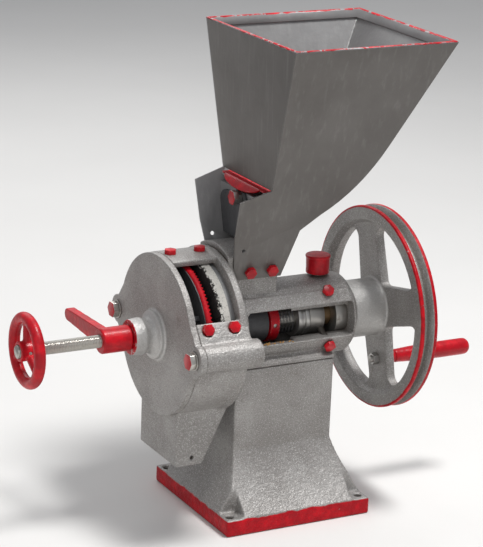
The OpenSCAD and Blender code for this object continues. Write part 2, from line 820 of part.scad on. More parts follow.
module set_screws() {
    reach = housing_r + 1.5 - barrel_bearing_r + 1 - 0.1;
    color(red) for (a = set_screw_angles)
        radial_front(set_screw_x, housing_r + 1.5, a)
            hex_bolt(m8_flats, m8_head, set_screw_d, reach);
}

// Coil spring as one tube: straight ends along X, then an even helix
rings_per_coil = 8;
tube_sides = 6;
coil_points = concat(
    [[collar_x1, coil_r, 0], [collar_x1 + wire_d, coil_r, 0]],
    [for (i = [1:coils * rings_per_coil - 1])
        let (t = i / (coils * rings_per_coil), a = 360 * coils * t)
            [collar_x1 + wire_d * 1.25 + (spring_l - 2.5 * wire_d) * t,
                coil_r * cos(a), coil_r * sin(a)]],
    [[spring_x1 - wire_d, coil_r, 0], [spring_x1, coil_r, 0]]);

function unit(v) = v / norm(v);
function tangent(p, i) = i == 0 || i == 1 ? unit(p[1] - p[0])
    : i >= len(p) - 2 ? unit(p[len(p) - 1] - p[len(p) - 2]) : unit(p[i + 1] - p[i - 1]);
function side_of(p, i) = unit(cross(tangent(p, i), [0, p[i][1], p[i][2]]));
function tube_ring(p, i, r) = let (s = side_of(p, i), n = unit(cross(s, tangent(p, i))))
    [for (k = [0:tube_sides - 1]) p[i] + r * (cos(60 * k) * n + sin(60 * k) * s)];

module tube(p, r) {
    count = len(p);
    polyhedron(
        points = [for (i = [0:count - 1]) each tube_ring(p, i, r)],
        faces = concat(
            [[for (k = [0:tube_sides - 1]) k]],
            [for (i = [0:count - 2], k = [0:tube_sides - 1])
                let (a = i * tube_sides + k, b = i * tube_sides + (k + 1) % tube_sides)
                    each [[a, b + tube_sides, b], [a, a + tube_sides, b + tube_sides]]],
            [[for (k = [tube_sides - 1:-1:0]) (count - 1) * tube_sides + k]]));
}

// Least gap between coils, measured on points that are more than half a turn apart
coil_gap = min([for (i = [1:len(coil_points) - 2], j = [i + 5:1:len(coil_points) - 2])
    norm(coil_points[i] - coil_points[j])]) - wire_d;
echo(coil_gap = coil_gap);

module pressure_spring() {
    color(dark) translate([0, 0, shaft_z]) tube(coil_points, wire_d / 2);
}

// Front plate of the hopper: drawn flat, then leaned out so that its outer face is w(z) away
tongue_z = shaft_z + 168.6;
module hopper_plate() {
    k = 1 / cos(lean);
    outline = concat(
        [[mouth_x0, mouth_z + 4], [left_low_x, left_low_z], [tongue_x, tongue_z],
            [tongue_x + 1.5, tongue_z - 46], [tongue_x + 7.5, plate_low_z + 17],
            [tongue_x + 17, plate_low_z]],
        right_line, [[mouth_x1 + 2, mouth_z + 4]]);
    difference() {
        translate([0, -mouth_y, mouth_z]) rotate([90 + lean, 0, 0]) translate([0, 0, -sheet_t])
            linear_extrude(sheet_t) polygon([for (p = outline) [p[0], (p[1] - mouth_z) * k]]);
        translate([mouth_x0 - 10, -mouth_y - 20, mouth_z])
            cube([mouth_x1 - mouth_x0 + 20, 60, 20]);
        for (x = hopper_bolt_x)
            hopper_bolt_place(x, 1) translate([0, 0, -sheet_t - 1])
                cylinder(h = sheet_t + 2, d = hopper_bolt_d + 0.4);
        // Spare hole near the edge of the plate
        hopper_bolt_place(tongue_x + 16.3, 1, 39.8) translate([0, 0, -sheet_t - 1])
            cylinder(h = sheet_t + 2, d = 5);
    }
}

hopper_bolt_d = 8;
hopper_bolt_l = neck_wall - 1;
hopper_bolt_up = 10;
hopper_bolt_x = [throat_x0 - 3, neck_x1 - 11.5];

// Place on a plate's outer face, with Z pointing out of it; s is 1 for the front, -1 for the back
module hopper_bolt_place(x, s, up = hopper_bolt_up) {
    mirror([0, s > 0 ? 0 : 1, 0])
        translate([x, -w(plate_low_z + up), plate_low_z + up])
            rotate([90 + lean, 0, 0]) children();
}

module hopper_front() {
    color(silver) hopper_plate();
}

module hopper_back() {
    color(silver) mirror([0, 1, 0]) hopper_plate();
}

// Space between the inner faces of the two leaning plates
module between_plates() {
    low = plate_low_z - 20;
    translate([-200, 0, 0]) rotate([90, 0, 90]) linear_extrude(500) polygon([
        [-w_in(low), low], [w_in(low), low], [w_in(mouth_z), mouth_z],
        [-w_in(mouth_z), mouth_z]]);
}

module hopper_left() {
    color(silver) intersection() {
        across(3 * mouth_y) polygon([[mouth_x0, mouth_z], [mouth_x0 + sheet_t, mouth_z],
            [left_low_x + sheet_t, left_low_z], [left_low_x, left_low_z]]);
        between_plates();
    }
}

// Line moved sideways by t, to the left of its direction
function line_side(p, i) = let (a = p[max(i - 1, 0)], b = p[min(i + 1, len(p) - 1)],
    d = unit(b - a)) [-d[1], d[0]];
function moved(p, t) = [for (i = [0:len(p) - 1]) p[i] + t * line_side(p, i)];

module hopper_bottom() {
    line = concat([for (p = right_line) p], [[mouth_x1 + 2, mouth_z + 4]]);
    inner = moved(line, sheet_t);
    color(silver) difference() {
        intersection() {
            across(3 * mouth_y) polygon(concat(line,
                [for (i = [len(inner) - 1:-1:0]) inner[i]]));
            between_plates();
        }
        // The neck stands inside the lower end of the sheet
        translate([neck_x1 - 60, -mouth_y, 0]) cube([60, 2 * mouth_y, plate_low_z - 1]);
    }
}

// Space inside the hopper's mouth, a small distance clear of its four walls
module mouth_space(clear, low, high) {
    right_slope = (mouth_x1 - belly1[0]) / (mouth_z - belly1[1]);
    left_slope = (mouth_x0 - left_low_x) / (mouth_z - left_low_z);
    right_t = sheet_t * sqrt(1 + right_slope * right_slope);
    function left_at(z) = mouth_x0 + sheet_t + clear + (z - mouth_z) * left_slope;
    function right_at(z) = mouth_x1 - right_t - clear + (z - mouth_z) * right_slope;
    intersection() {
        across(3 * mouth_y) polygon([[left_at(low), low], [right_at(low), low],
            [right_at(high), high], [left_at(high), high]]);
        translate([-2 * mouth_x1, 0, 0]) rotate([90, 0, 90]) linear_extrude(4 * mouth_x1)
            polygon([[clear - w_in(low), low], [w_in(low) - clear, low],
                [w_in(high) - clear, high], [clear - w_in(high), high]]);
    }
}

// Edge of the hopper's mouth, folded in over the sheets and down inside them
rim_over = 1;
rim_fold_t = 2;
module hopper_rim() {
    low = mouth_z - rim_fold_w;
    color(red) difference() {
        union() {
            translate([mouth_x0 - rim_over, -mouth_y - rim_over, mouth_z])
                cube([mouth_x1 - mouth_x0 + 2 * rim_over, 2 * (mouth_y + rim_over), rim_fold_t]);
            mouth_space(pass_fit, low, mouth_z + rim_fold_t / 2);
        }
        mouth_space(pass_fit + rim_fold_t, low - 1, mouth_z + rim_fold_t + 1);
    }
}

module hopper_bolts() {
    color(red) for (s = [-1, 1], x = hopper_bolt_x)
        hopper_bolt_place(x, s)
            hex_bolt(m8_flats, m8_head, hopper_bolt_d, sheet_t + hopper_bolt_l - 1);
}

gate_low_z = shaft_z + gate_z;
gate_x0 = left_low_x - 6;
gate_x1 = 70;
rail_t = 4;
rail_in = 5;
rail_l = 80;

// Two rails under the gate's edges, on the inner faces of the plates
module gate_rails() {
    z0 = gate_low_z - rail_t;
    color(silver) for (s = [-1, 1])
        translate([left_low_x - 4, 0, 0]) rotate([90, 0, 90]) linear_extrude(rail_l)
            polygon([[s * (gate_y - rail_in), z0], [s * w_in(z0), z0],
                [s * w_in(gate_low_z), gate_low_z], [s * (gate_y - rail_in), gate_low_z]]);
}

// Plate that shuts the hopper's outlet, with a round finger lip bent down at its left end
lip_bend = 40;
lip_half = 43;
module feed_gate() {
    color(red) union() {
        translate([gate_x0, -gate_y, gate_low_z]) cube([gate_x1 - gate_x0, 2 * gate_y, gate_t]);
        translate([gate_x0, 0, gate_low_z + gate_t / 2]) rotate([0, -lip_bend, 0])
            translate([0, 0, -gate_t / 2]) linear_extrude(gate_t)
                polygon([for (a = [0:12:180])
                    [-lip_w * sin(a) + 0.5, lip_half * cos(a)]]);
    }
}

flap_x1 = left_low_x - 6;
flap_x0 = flap_x1 - flap_t;
flap_bolt_up = 158.7;
flap_shoulder_up = 145;
flap_top_up = 159;
flap_bolt_z = shaft_z + flap_bolt_up;
flap_bar_t = 5;

// Dark flap that shuts the left side of the throat between the plates
module feed_flap() {
    low = shaft_z + neck_h + pass_fit;
    shoulder_z = shaft_z + flap_shoulder_up;
    top_z = shaft_z + flap_top_up;
    tab_z = flap_bolt_z + 7;
    clear = 1;
    half_low = w_in(low) - clear;
    half_top = w_in(shoulder_z) - clear;
    round_r = top_z - shoulder_z;
    side = concat([[half_low, low], [half_top, shoulder_z]],
        [for (a = [15:15:90]) [half_top - round_r * (1 - cos(a)), shoulder_z + round_r * sin(a)]],
        [[14, top_z], [10, tab_z]]);
    color(dark) difference() {
        translate([flap_x0, 0, 0]) rotate([90, 0, 90]) linear_extrude(flap_t)
            polygon(concat(side, [for (i = [len(side) - 1:-1:0]) [-side[i][0], side[i][1]]]));
        translate([flap_x0 - 1, 0, flap_bolt_z]) rotate([0, 90, 0])
            cylinder(h = flap_t + 2, d = m8_d + 0.4);
    }
}

m8_d = 8;

// Cross bar between the plates that carries the flap
module flap_bar() {
    z0 = flap_bolt_z - 6.5;
    z1 = flap_bolt_z + 6.5;
    color(silver) difference() {
        translate([flap_x1, 0, 0]) rotate([90, 0, 90]) linear_extrude(flap_bar_t)
            polygon([[-w_in(z0), z0], [w_in(z0), z0], [w_in(z1), z1], [-w_in(z1), z1]]);
        translate([flap_x1 - 1, 0, flap_bolt_z]) rotate([0, 90, 0])
            cylinder(h = flap_bar_t + 2, d = m8_d + 2 * run_fit);
    }
}

flap_nut_t = 5;
module flap_bolt() {
    color(red) translate([flap_x0 - flap_nut_t, 0, flap_bolt_z]) rotate([0, -90, 0])
        rotate([0, 0, 30]) hex_bolt(16, 6.5, m8_d, flap_nut_t + flap_t + flap_bar_t + 2);
}

module flap_nut() {
    color(steel) translate([flap_x0, 0, flap_bolt_z]) rotate([0, -90, 0]) difference() {
        hex_bar(14, flap_nut_t);
        translate([0, 0, -1]) cylinder(h = flap_nut_t + 2, d = m8_d + 0.1);
    }
}

stem_d = 10;
stem_head_d = 18;
stem_head_z = shaft_z + housing_r + 0.1;
stem_z0 = shaft_z + housing_r - housing_wall;
cap_z = stem_head_z + 3;

// Stem of the grease cup, screwed into the housing, with a threaded head inside the cap
module grease_cup_stem() {
    color(silver) difference() {
        translate([cup_x, 0, 0]) {
            translate([0, 0, stem_z0]) cylinder(h = stem_head_z - stem_z0 + 1, d = stem_d);
            translate([0, 0, stem_head_z]) cylinder(h = 5, d = 14);
            translate([0, 0, stem_head_z + 4]) cylinder(h = 9, d = stem_head_d);
        }
        translate([cup_x, 0, stem_z0 - 1]) cylinder(h = 40, d = 4);
    }
}

module grease_cup_cap() {
    wall = 2.2;
    foot_r = cap_r - 1.2;
    color(red) translate([cup_x, 0, cap_z]) rotate_extrude() difference() {
        polygon([[0, 0], [foot_r, 0], [foot_r, cap_h * 0.3], [cap_r - 0.8, cap_h - 4],
            [cap_r, cap_h - 3], [cap_r, cap_h - 1], [cap_r - 1, cap_h], [0, cap_h]]);
        translate([0, -1]) square([stem_head_d / 2 + pass_fit, 9 + pass_fit + 2]);
        translate([0, 9]) square([foot_r - wall, cap_h - 9 - wall]);
    }
}

// Main shaft with its two threaded ends, a key seat, a pin hole and a ball seat
key_w = 8;
key_h = 7;
key_l = 44;
key_x = hub_x0 + 6;
pin_d = 5;
module main_shaft() {
    color(steel) difference() {
        union() {
            disc(shaft_end_x, shaft_right_x, shaft_end_r);
            disc(runner_hub_x, hub_x1 - 1, shaft_r);
        }
        on_shaft(ball_x) sphere(r = ball_r + pass_fit);
        translate([key_x, -key_w / 2, shaft_z + shaft_r - key_h / 2])
            cube([key_l, key_w, key_h]);
        cross_hole(collar_pin_x);
        cross_hole(runner_pin_x);
    }
}

// Sleeve with a helical flight that carries the grain to the eye of the stone
worm_x0 = stone_face_x + 2;
worm_x1 = bulkhead_x0 - close_travel - 2;
worm_core_r = 17;
worm_turns = 1.5;
worm_flight_t = 5;
worm_steps = 36;

// Helical flight between two radii, as one closed ribbon along X
module flight(x0, x1, r_in, r_out) {
    rise = x1 - x0 - worm_flight_t;
    section = [[0, r_in], [0, r_out], [worm_flight_t, r_out], [worm_flight_t, r_in]];
    polyhedron(
        points = [for (i = [0:worm_steps], q = section)
            let (a = 360 * worm_turns * i / worm_steps)
                [x0 + rise * i / worm_steps + q[0], q[1] * cos(a), q[1] * sin(a)]],
        faces = concat([[3, 2, 1, 0]],
            [for (i = [0:worm_steps - 1], k = [0:3])
                let (a = 4 * i + k, b = 4 * i + (k + 1) % 4)
                    each [[a, b, b + 4], [a, b + 4, a + 4]]],
            [[for (k = [0:3]) 4 * worm_steps + k]]));
}

module feed_worm() {
    color(steel) union() {
        ring(runner_disc_x1, worm_x1, worm_core_r, shaft_r + run_fit);
        translate([0, 0, shaft_z]) flight(worm_x0, worm_x1 - 2, worm_core_r - 0.5, worm_r);
    }
}

runner_hub_r = 27;
stone_seat_r = runner_r - 8;
module runner_disc() {
    rib_l = stone_seat_r - runner_hub_r;
    color(dark) difference() {
        union() {
            disc(runner_disc_x0, runner_disc_x0 + 1.5, runner_r);
            disc(runner_disc_x0, runner_disc_x1, ring_in_r);
            disc(runner_hub_x, runner_disc_x0 + 1, runner_hub_r);
            for (i = [0:5])
                on_shaft(runner_hub_x + 4, 30 + i * 60) translate([runner_hub_r - 5, -3])
                    cube([rib_l, 6, runner_hub_l - 3.5]);
            ring(runner_disc_x0, runner_disc_x1 + 2.5, ring_in_r, stone_seat_r);
        }
        disc(runner_hub_x - 1, runner_disc_x1 + 1, shaft_r + run_fit);
        cross_hole(runner_pin_x);
    }
}

module runner_stone() {
    color(dark) ring(runner_disc_x1, runner_face_x, stone_seat_r - 0.2, worm_r + 5);
}

// Serrated ring round the rim of the runner: its face towards the stone zigzags between two depths
ring_x0 = runner_disc_x0 + 1.5;
ring_x1 = ring_x0 + 5;
ring_in_r = runner_r - 4;
ring_out_r = runner_r + 2;
module runner_ring() {
    count = 2 * tooth_count;
    step = 360 / count;
    section = [for (i = [0:count - 1])
        let (front = ring_x1 + (i % 2) * tooth_h)
            [[ring_x0, ring_in_r + run_fit], [ring_x0, ring_out_r],
                [front, ring_out_r], [front, ring_in_r + run_fit]]];
    color(red) translate([0, 0, shaft_z]) polyhedron(
        points = [for (i = [0:count - 1], q = section[i])
            [q[0], q[1] * cos(i * step), q[1] * sin(i * step)]],
        faces = [for (i = [0:count - 1], k = [0:3])
            let (a = 4 * i + k, b = 4 * i + (k + 1) % 4, next = 4 * ((i + 1) % count),
                c = next + (k + 1) % 4, d = next + k)
                each [[a, b, c], [a, c, d]]]);
}

module runner_nut() {
    color(steel) on_shaft(runner_hub_x - nut_t) difference() {
        hex_bar(24, nut_t);
        translate([0, 0, -1]) cylinder(h = nut_t + 2, r = shaft_end_r + run_fit);
    }
}

// Pin driven across the shaft, along Y
module cross_pin(x, l) {
    translate([x, 0, shaft_z]) rotate([90, 0, 0])
        cylinder(h = l, d = pin_d, center = true);
}

module cross_hole(x) {
    translate([x, 0, shaft_z]) rotate([90, 0, 0])
        cylinder(h = 3 * hub_r, d = pin_d + 2 * run_fit, center = true);
}

collar_pin_x = collar_x + collar_t / 2;
collar_r = barrel_bearing_r + 1;
module spring_collar() {
    color(red) difference() {
        ring(collar_x, collar_x1, collar_r, shaft_r + run_fit);
        cross_hole(collar_pin_x);
    }
}

module collar_pin() {
    color(steel) cross_pin(collar_pin_x, 2 * collar_r - 2);
}

runner_pin_x = runner_hub_x + 5;
module runner_pin() {
    color(steel) cross_pin(runner_pin_x, 2 * runner_hub_r - 2);
}

// Places on a spoke's edge, f beside it and t along it, and the t at which that place is r away
// from the hub's axis
spoke_dx = pulley_r - rim_h - hub_r;
spoke_tilt = atan((spoke_w1 - spoke_w0) / 2 / spoke_dx);
function edge_point(f, t) = [hub_r - f * sin(spoke_tilt) + t * cos(spoke_tilt),
    spoke_w0 / 2 + f * cos(spoke_tilt) + t * sin(spoke_tilt)];
function fillet_t(f, r) = let (p = edge_point(f, 0), u = [cos(spoke_tilt), sin(spoke_tilt)],
    b = p * u, c = p * p - r * r) -b + sqrt(b * b - c);
function between_t(f, turn) = let (p = edge_point(f, 0))
    (p[1] * cos(turn) - p[0] * sin(turn))
        / (cos(spoke_tilt) * sin(turn) - sin(spoke_tilt) * cos(turn));
function arc_points(c, r, a0, a1, n, first = 0) = [for (i = [first:n])
    c + r * [cos(a0 + (a1 - a0) * i / n), sin(a0 + (a1 - a0) * i / n)]];

// Window between two spokes, as one outline with a fillet in each corner
spoke_fillet_hub = 8;
spoke_fillet_rim = 12;
window_edge = 0.5;
module pulley_window() {
    half_turn = 180 / spoke_count;
    r0 = hub_r + window_edge;
    r1 = pulley_r - rim_h - window_edge;
    // The inner fillet touches the hub, or both spokes where they meet outside it
    t_hub = fillet_t(spoke_fillet_hub, r0 + spoke_fillet_hub);
    t_both = between_t(spoke_fillet_hub, half_turn);
    meets_hub = t_hub > t_both;
    c0 = edge_point(spoke_fillet_hub, max(t_hub, t_both));
    c1 = edge_point(spoke_fillet_rim, fillet_t(spoke_fillet_rim, r1 - spoke_fillet_rim));
    a0 = atan2(c0[1], c0[0]);
    a1 = atan2(c1[1], c1[0]);
    half = concat(
        meets_hub ? arc_points([0, 0], r0, half_turn, a0, 4) : [],
        arc_points(c0, spoke_fillet_hub, a0 + 180, 270 + spoke_tilt, 4, meets_hub ? 1 : 0),
        arc_points(c1, spoke_fillet_rim, spoke_tilt - 90, a1, 8),
        arc_points([0, 0], r1, a1, half_turn, 8, 1));
    polygon(concat(half, [for (i = [len(half) - 2:-1:1]) let (p = half[i])
        [p[0] * cos(2 * half_turn) + p[1] * sin(2 * half_turn),
            p[0] * sin(2 * half_turn) - p[1] * cos(2 * half_turn)]]));
}

// Disc between the hub and the rim with a window between each two spokes
module web() {
    on_shaft(spoke_x0) linear_extrude(spoke_t) difference() {
        circle(r = pulley_r - rim_h + 3);
        for (i = [0:spoke_count - 1])
            rotate(spoke_angle(i)) pulley_window();
    }
}

// Rim section: a belt groove between two lands, with a draft inside the rim
module rim_section() {
    middle = rim_w / 2;
    rim_in = pulley_r - rim_h;
    foot_w = groove_w * 0.3;
    land = 1;
    polygon([[rim_in + 5, 0], [pulley_r - 1, 0], [pulley_r, 1],
        [pulley_r, middle - groove_w / 2], [pulley_r - groove_h, middle - foot_w / 2],
        [pulley_r - groove_h, middle + foot_w / 2], [pulley_r, middle + groove_w / 2],
        [pulley_r, rim_w - 1], [pulley_r - 1, rim_w], [rim_in + 5, rim_w],
        [rim_in, spoke_x1 - rim_x0 - land], [rim_in, spoke_x0 - rim_x0 + land]]);
}

function spoke_angle(i) = -90 - pulley_turn + i * 360 / spoke_count;

module pulley() {
    color(silver) difference() {
        union() {
            on_shaft(rim_x0) rotate_extrude() rim_section();
            disc(hub_x0, hub_x1, hub_r);
            web();
        }
        disc(hub_x0 - 1, hub_x1 + 1, shaft_r + run_fit);
        translate([hub_x0 - 1, -key_w / 2, shaft_z])
            cube([hub_l + 2, key_w, shaft_r + key_h / 2 + run_fit]);
        crank_place(spoke_x0 - 1) cylinder(h = spoke_t + 2, r = crank_pin_r + run_fit);
    }
}

module pulley_key() {
    color(steel) translate([key_x, -key_w / 2, shaft_z + shaft_r - key_h / 2])
        cube([key_l, key_w, key_h]);
}

washer_t = 3;
pulley_nut_t = 10;
module pulley_washer() {
    color(steel) ring(hub_x1, hub_x1 + washer_t, shaft_end_r * 1.8, shaft_end_r + pass_fit);
}

module pulley_nut() {
    color(steel) on_shaft(hub_x1 + washer_t) difference() {
        hex_bar(30, pulley_nut_t);
        translate([0, 0, -1]) cylinder(h = pulley_nut_t + 2, r = shaft_end_r + run_fit);
    }
}

// Place on the lowest spoke at the crank's radius
module crank_place(x) {
    on_shaft(x, -90 - pulley_turn) translate([crank_r, 0]) children();
}

grip_x0 = spoke_x1 + ferrule_l + pass_fit;
grip_x1 = grip_x0 + grip_l;
crank_head_t = 4;
crank_nut_t = 7;
counterbore = crank_head_t + 3;

// Long bolt that the grip turns on, with its round head sunk in the grip's end
module crank_pin() {
    start = spoke_x0 - crank_nut_t - 3;
    color(steel) union() {
        crank_place(start) cylinder(h = grip_x1 - counterbore - start + 1, r = crank_pin_r);
        crank_place(grip_x1 - counterbore + pass_fit)
            cylinder(h = crank_head_t, r = crank_pin_r + 2);
    }
}

module crank_nut() {
    color(steel) crank_place(spoke_x0 - crank_nut_t) difference() {
        hex_bar(crank_pin_r * 3, crank_nut_t);
        translate([0, 0, -1]) cylinder(h = crank_nut_t + 2, r = crank_pin_r + run_fit);
    }
}

module crank_ferrule() {
    color(red) crank_place(spoke_x1) difference() {
        union() {
            cylinder(h = ferrule_l, r = ferrule_r - 1.5);
            cylinder(h = ferrule_l * 0.35, r = ferrule_r);
        }
        translate([0, 0, -1]) cylinder(h = ferrule_l + 2, r = crank_pin_r + run_fit);
    }
}

// Turned grip: slim neck, long belly and a round tip
module crank_grip() {
    tip = 0.8 * grip_r;
    neck_r = grip_r * 0.8;
    color(red) crank_place(grip_x0) rotate_extrude() difference() {
        union() {
            polygon([[0, 0], [neck_r - 1, 0], [neck_r, 1.5], [neck_r, grip_l * 0.05],
                [grip_r * 0.9, grip_l * 0.2], [grip_r * 0.97, grip_l * 0.4],
                [grip_r, grip_l * 0.6], [grip_r, grip_l - tip - 3],
                [grip_r * 0.98, grip_l - tip], [0, grip_l - tip]]);
            intersection() {
                translate([0, grip_l - tip]) scale([0.98, tip / grip_r]) circle(r = grip_r);
                translate([0, grip_l - tip - 1]) square([grip_r * 2, grip_l]);
            }
        }
        translate([-1, -1]) square([crank_pin_r + pass_fit + 1, grip_l + 2]);
        translate([-1, grip_l - counterbore]) square([crank_pin_r + 2 + pass_fit + 1, grip_l]);
    }
}

module thrust_cup() {
    color(steel) difference() {
        disc(cup_x0, cup_x1, cup_bore_r - run_fit);
        on_shaft(ball_x) sphere(r = ball_r + pass_fit);
    }
}

module thrust_ball() {
    color(steel) on_shaft(ball_x) sphere(r = ball_r);
}

wheel_hub_l = 22;
wheel_pin_d = 4;
module wheel_pin_bar(d, l) {
    translate([wheel_x, 0, shaft_z]) rotate([90, 0, 0]) cylinder(h = l, d = d, center = true);
}

module adjusting_spindle() {
    color(steel) difference() {
        disc(wheel_x - wheel_hub_l / 2 - 2, cup_x0, spindle_r);
        wheel_pin_bar(wheel_pin_d + 2 * run_fit, 40);
    }
}

wheel_spokes = 3;
wheel_spoke_r = 5;
module handwheel() {
    color(red) difference() {
        union() {
            on_shaft(wheel_x) rotate_extrude()
                translate([wheel_r, 0]) circle(r = wheel_rim_r, $fn = 48);
            disc(wheel_x - wheel_hub_l / 2, wheel_x + wheel_hub_l / 2, wheel_hub_r);
            for (i = [0:wheel_spokes - 1])
                on_shaft(wheel_x, 90 + i * 360 / wheel_spokes) rotate([0, 90, 0])
                    translate([0, 0, spindle_r + 1])
                        cylinder(h = wheel_r - spindle_r - 1, r = wheel_spoke_r);
        }
        disc(wheel_x - 40, wheel_x + 40, spindle_r + run_fit);
        wheel_pin_bar(wheel_pin_d + 2 * run_fit, 40);
    }
}

module handwheel_pin() {
    color(steel) wheel_pin_bar(wheel_pin_d, 2 * wheel_hub_r - 1);
}

lever_x0 = lock_x0 + lock_nut_l * 0.13;

// Lock nut with a flat lever that points backwards
module lock_lever() {
    tip = lever_w1 / 2;
    edge = 1.5;
    color(red) difference() {
        union() {
            on_shaft(lock_x0) rotate_extrude() polygon([[0, 0], [lock_nut_r - edge, 0],
                [lock_nut_r, edge], [lock_nut_r, lock_nut_l - edge],
                [lock_nut_r - edge, lock_nut_l], [0, lock_nut_l]]);
            on_shaft(lever_x0) linear_extrude(lever_t) {
                polygon([[0, -lever_w0 / 2], [lever_l - tip, -tip], [lever_l - tip, tip],
                    [0, lever_w0 / 2]]);
                translate([lever_l - tip, 0]) circle(r = tip);
            }
        }
        disc(lock_x0 - 1, lock_x1 + 1, spindle_r + run_fit);
    }
}

pedestal();
pedestal_bolts();
bearing_housing();
drum_casing();
end_cover();
cover_bolts();
cover_washers();
window_screws();
fixed_stone();
stone_screws();
front_bearing();
front_bush();
thrust_bearing();
thrust_sleeve();
set_screws();
rear_bearing();
rear_bush();
pressure_spring();
hopper_front();
hopper_back();
hopper_left();
hopper_bottom();
hopper_rim();
hopper_bolts();
gate_rails();
feed_gate();
feed_flap();
flap_bar();
flap_bolt();
flap_nut();
grease_cup_stem();
grease_cup_cap();
main_shaft();
feed_worm();
runner_disc();
runner_stone();
runner_ring();
runner_nut();
runner_pin();
spring_collar();
collar_pin();
pulley();
pulley_key();
pulley_washer();
pulley_nut();
crank_pin();
crank_nut();
crank_ferrule();
crank_grip();
thrust_cup();
thrust_ball();
adjusting_spindle();
handwheel();
handwheel_pin();
lock_lever();
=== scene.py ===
import json
import math
import random

import bpy
from mathutils import Matrix, Vector, noise


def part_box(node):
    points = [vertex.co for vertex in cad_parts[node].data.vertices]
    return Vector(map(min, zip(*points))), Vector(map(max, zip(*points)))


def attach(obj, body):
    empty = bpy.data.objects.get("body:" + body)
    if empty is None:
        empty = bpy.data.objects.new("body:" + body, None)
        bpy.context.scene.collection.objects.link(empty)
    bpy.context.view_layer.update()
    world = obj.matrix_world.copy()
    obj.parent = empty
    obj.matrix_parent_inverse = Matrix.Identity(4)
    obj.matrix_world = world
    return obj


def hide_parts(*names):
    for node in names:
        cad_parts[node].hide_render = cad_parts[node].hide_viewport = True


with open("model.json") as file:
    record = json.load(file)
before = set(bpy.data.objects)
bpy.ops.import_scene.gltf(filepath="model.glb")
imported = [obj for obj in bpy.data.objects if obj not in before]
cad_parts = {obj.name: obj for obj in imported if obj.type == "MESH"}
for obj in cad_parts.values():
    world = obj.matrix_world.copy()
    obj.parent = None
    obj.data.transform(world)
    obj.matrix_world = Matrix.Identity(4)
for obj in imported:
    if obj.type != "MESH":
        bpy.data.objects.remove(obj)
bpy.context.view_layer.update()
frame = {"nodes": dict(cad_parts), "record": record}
NODES = frame["nodes"]
BODY_OF = {node: body for body, nodes in frame["record"]["behaviour"]["bodies"].items()
           for node in nodes}

MM = 0.001
SHAFT_Z = sum(c.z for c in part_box("pulley")) / 2  # height of the shaft's axis
BOSS_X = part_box("end_cover")[0].x  # flat end of the cover's boss
FOOT_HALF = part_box("pedestal")[1].x  # half the width of the foot plate


# ---------------------------------------------------------------- camera and light

# Solved from the photograph: angles in radians, lens and sensor in mm.
CAMERA_PLACE = Vector((-1.26012799, -2.24952316, 1.0780707))
CAMERA_AZIMUTH = 0.49714967
CAMERA_DOWN = 0.29672693
CAMERA_ROLL = 0.03920711
LENS = 146.47
SENSOR = 36

LIT_PLACE = (0, 0, 0.25)
SKY = (0.93, 0.95, 1.0)
SKY_STRENGTH = 0.4


def add_camera():
    """Camera at the photograph's viewing angle."""
    sin_az, cos_az = math.sin(CAMERA_AZIMUTH), math.cos(CAMERA_AZIMUTH)
    sin_el, cos_el = math.sin(CAMERA_DOWN), math.cos(CAMERA_DOWN)
    forward = Vector((sin_az * cos_el, cos_az * cos_el, -sin_el))
    level = Vector((cos_az, -sin_az, 0))
    upright = level.cross(forward)
    right = math.cos(CAMERA_ROLL) * level + math.sin(CAMERA_ROLL) * upright
    up = math.cos(CAMERA_ROLL) * upright - math.sin(CAMERA_ROLL) * level
    data = bpy.data.cameras.new("camera")
    data.sensor_fit = "VERTICAL"
    data.sensor_height = SENSOR
    data.lens = LENS
    camera = bpy.data.objects.new("camera", data)
    camera.matrix_world = Matrix((
        (right.x, up.x, -forward.x, CAMERA_PLACE.x),
        (right.y, up.y, -forward.y, CAMERA_PLACE.y),
        (right.z, up.z, -forward.z, CAMERA_PLACE.z),
        (0, 0, 0, 1)))
    bpy.context.scene.collection.objects.link(camera)
    bpy.context.scene.camera = camera


def add_lamp(name, place, target, size, power):
    """Square area lamp that looks at a place."""
    data = bpy.data.lights.new(name, "AREA")
    data.size = size
    data.energy = power
    lamp = bpy.data.objects.new(name, data)
    lamp.location = place
    direction = Vector(target) - Vector(place)
    lamp.rotation_euler = direction.to_track_quat("-Z", "Y").to_euler()
    bpy.context.scene.collection.objects.link(lamp)


def add_light():
    """Small key lamp high above, large weak lamps in front and behind, and a pale sky."""
    add_lamp("key", (0.55, -0.5, 2.75), LIT_PLACE, 0.6, 74)
    add_lamp("fill", (-1.7, -1.9, 1.1), LIT_PLACE, 2.0, 11)
    add_lamp("back", (0.2, 2.0, 1.8), LIT_PLACE, 1.6, 16)
    world = bpy.data.worlds.new("studio")
    world.use_nodes = True
    background = world.node_tree.nodes["Background"]
    background.inputs["Color"].default_value = (*SKY, 1)
    background.inputs["Strength"].default_value = SKY_STRENGTH
    bpy.context.scene.world = world
    bpy.context.scene.view_settings.view_transform = "Standard"


# ---------------------------------------------------------------- materials

EDGE_DOTS = (0.985, 0.86)  # true and rounded normal on a face, and on a sharp edge


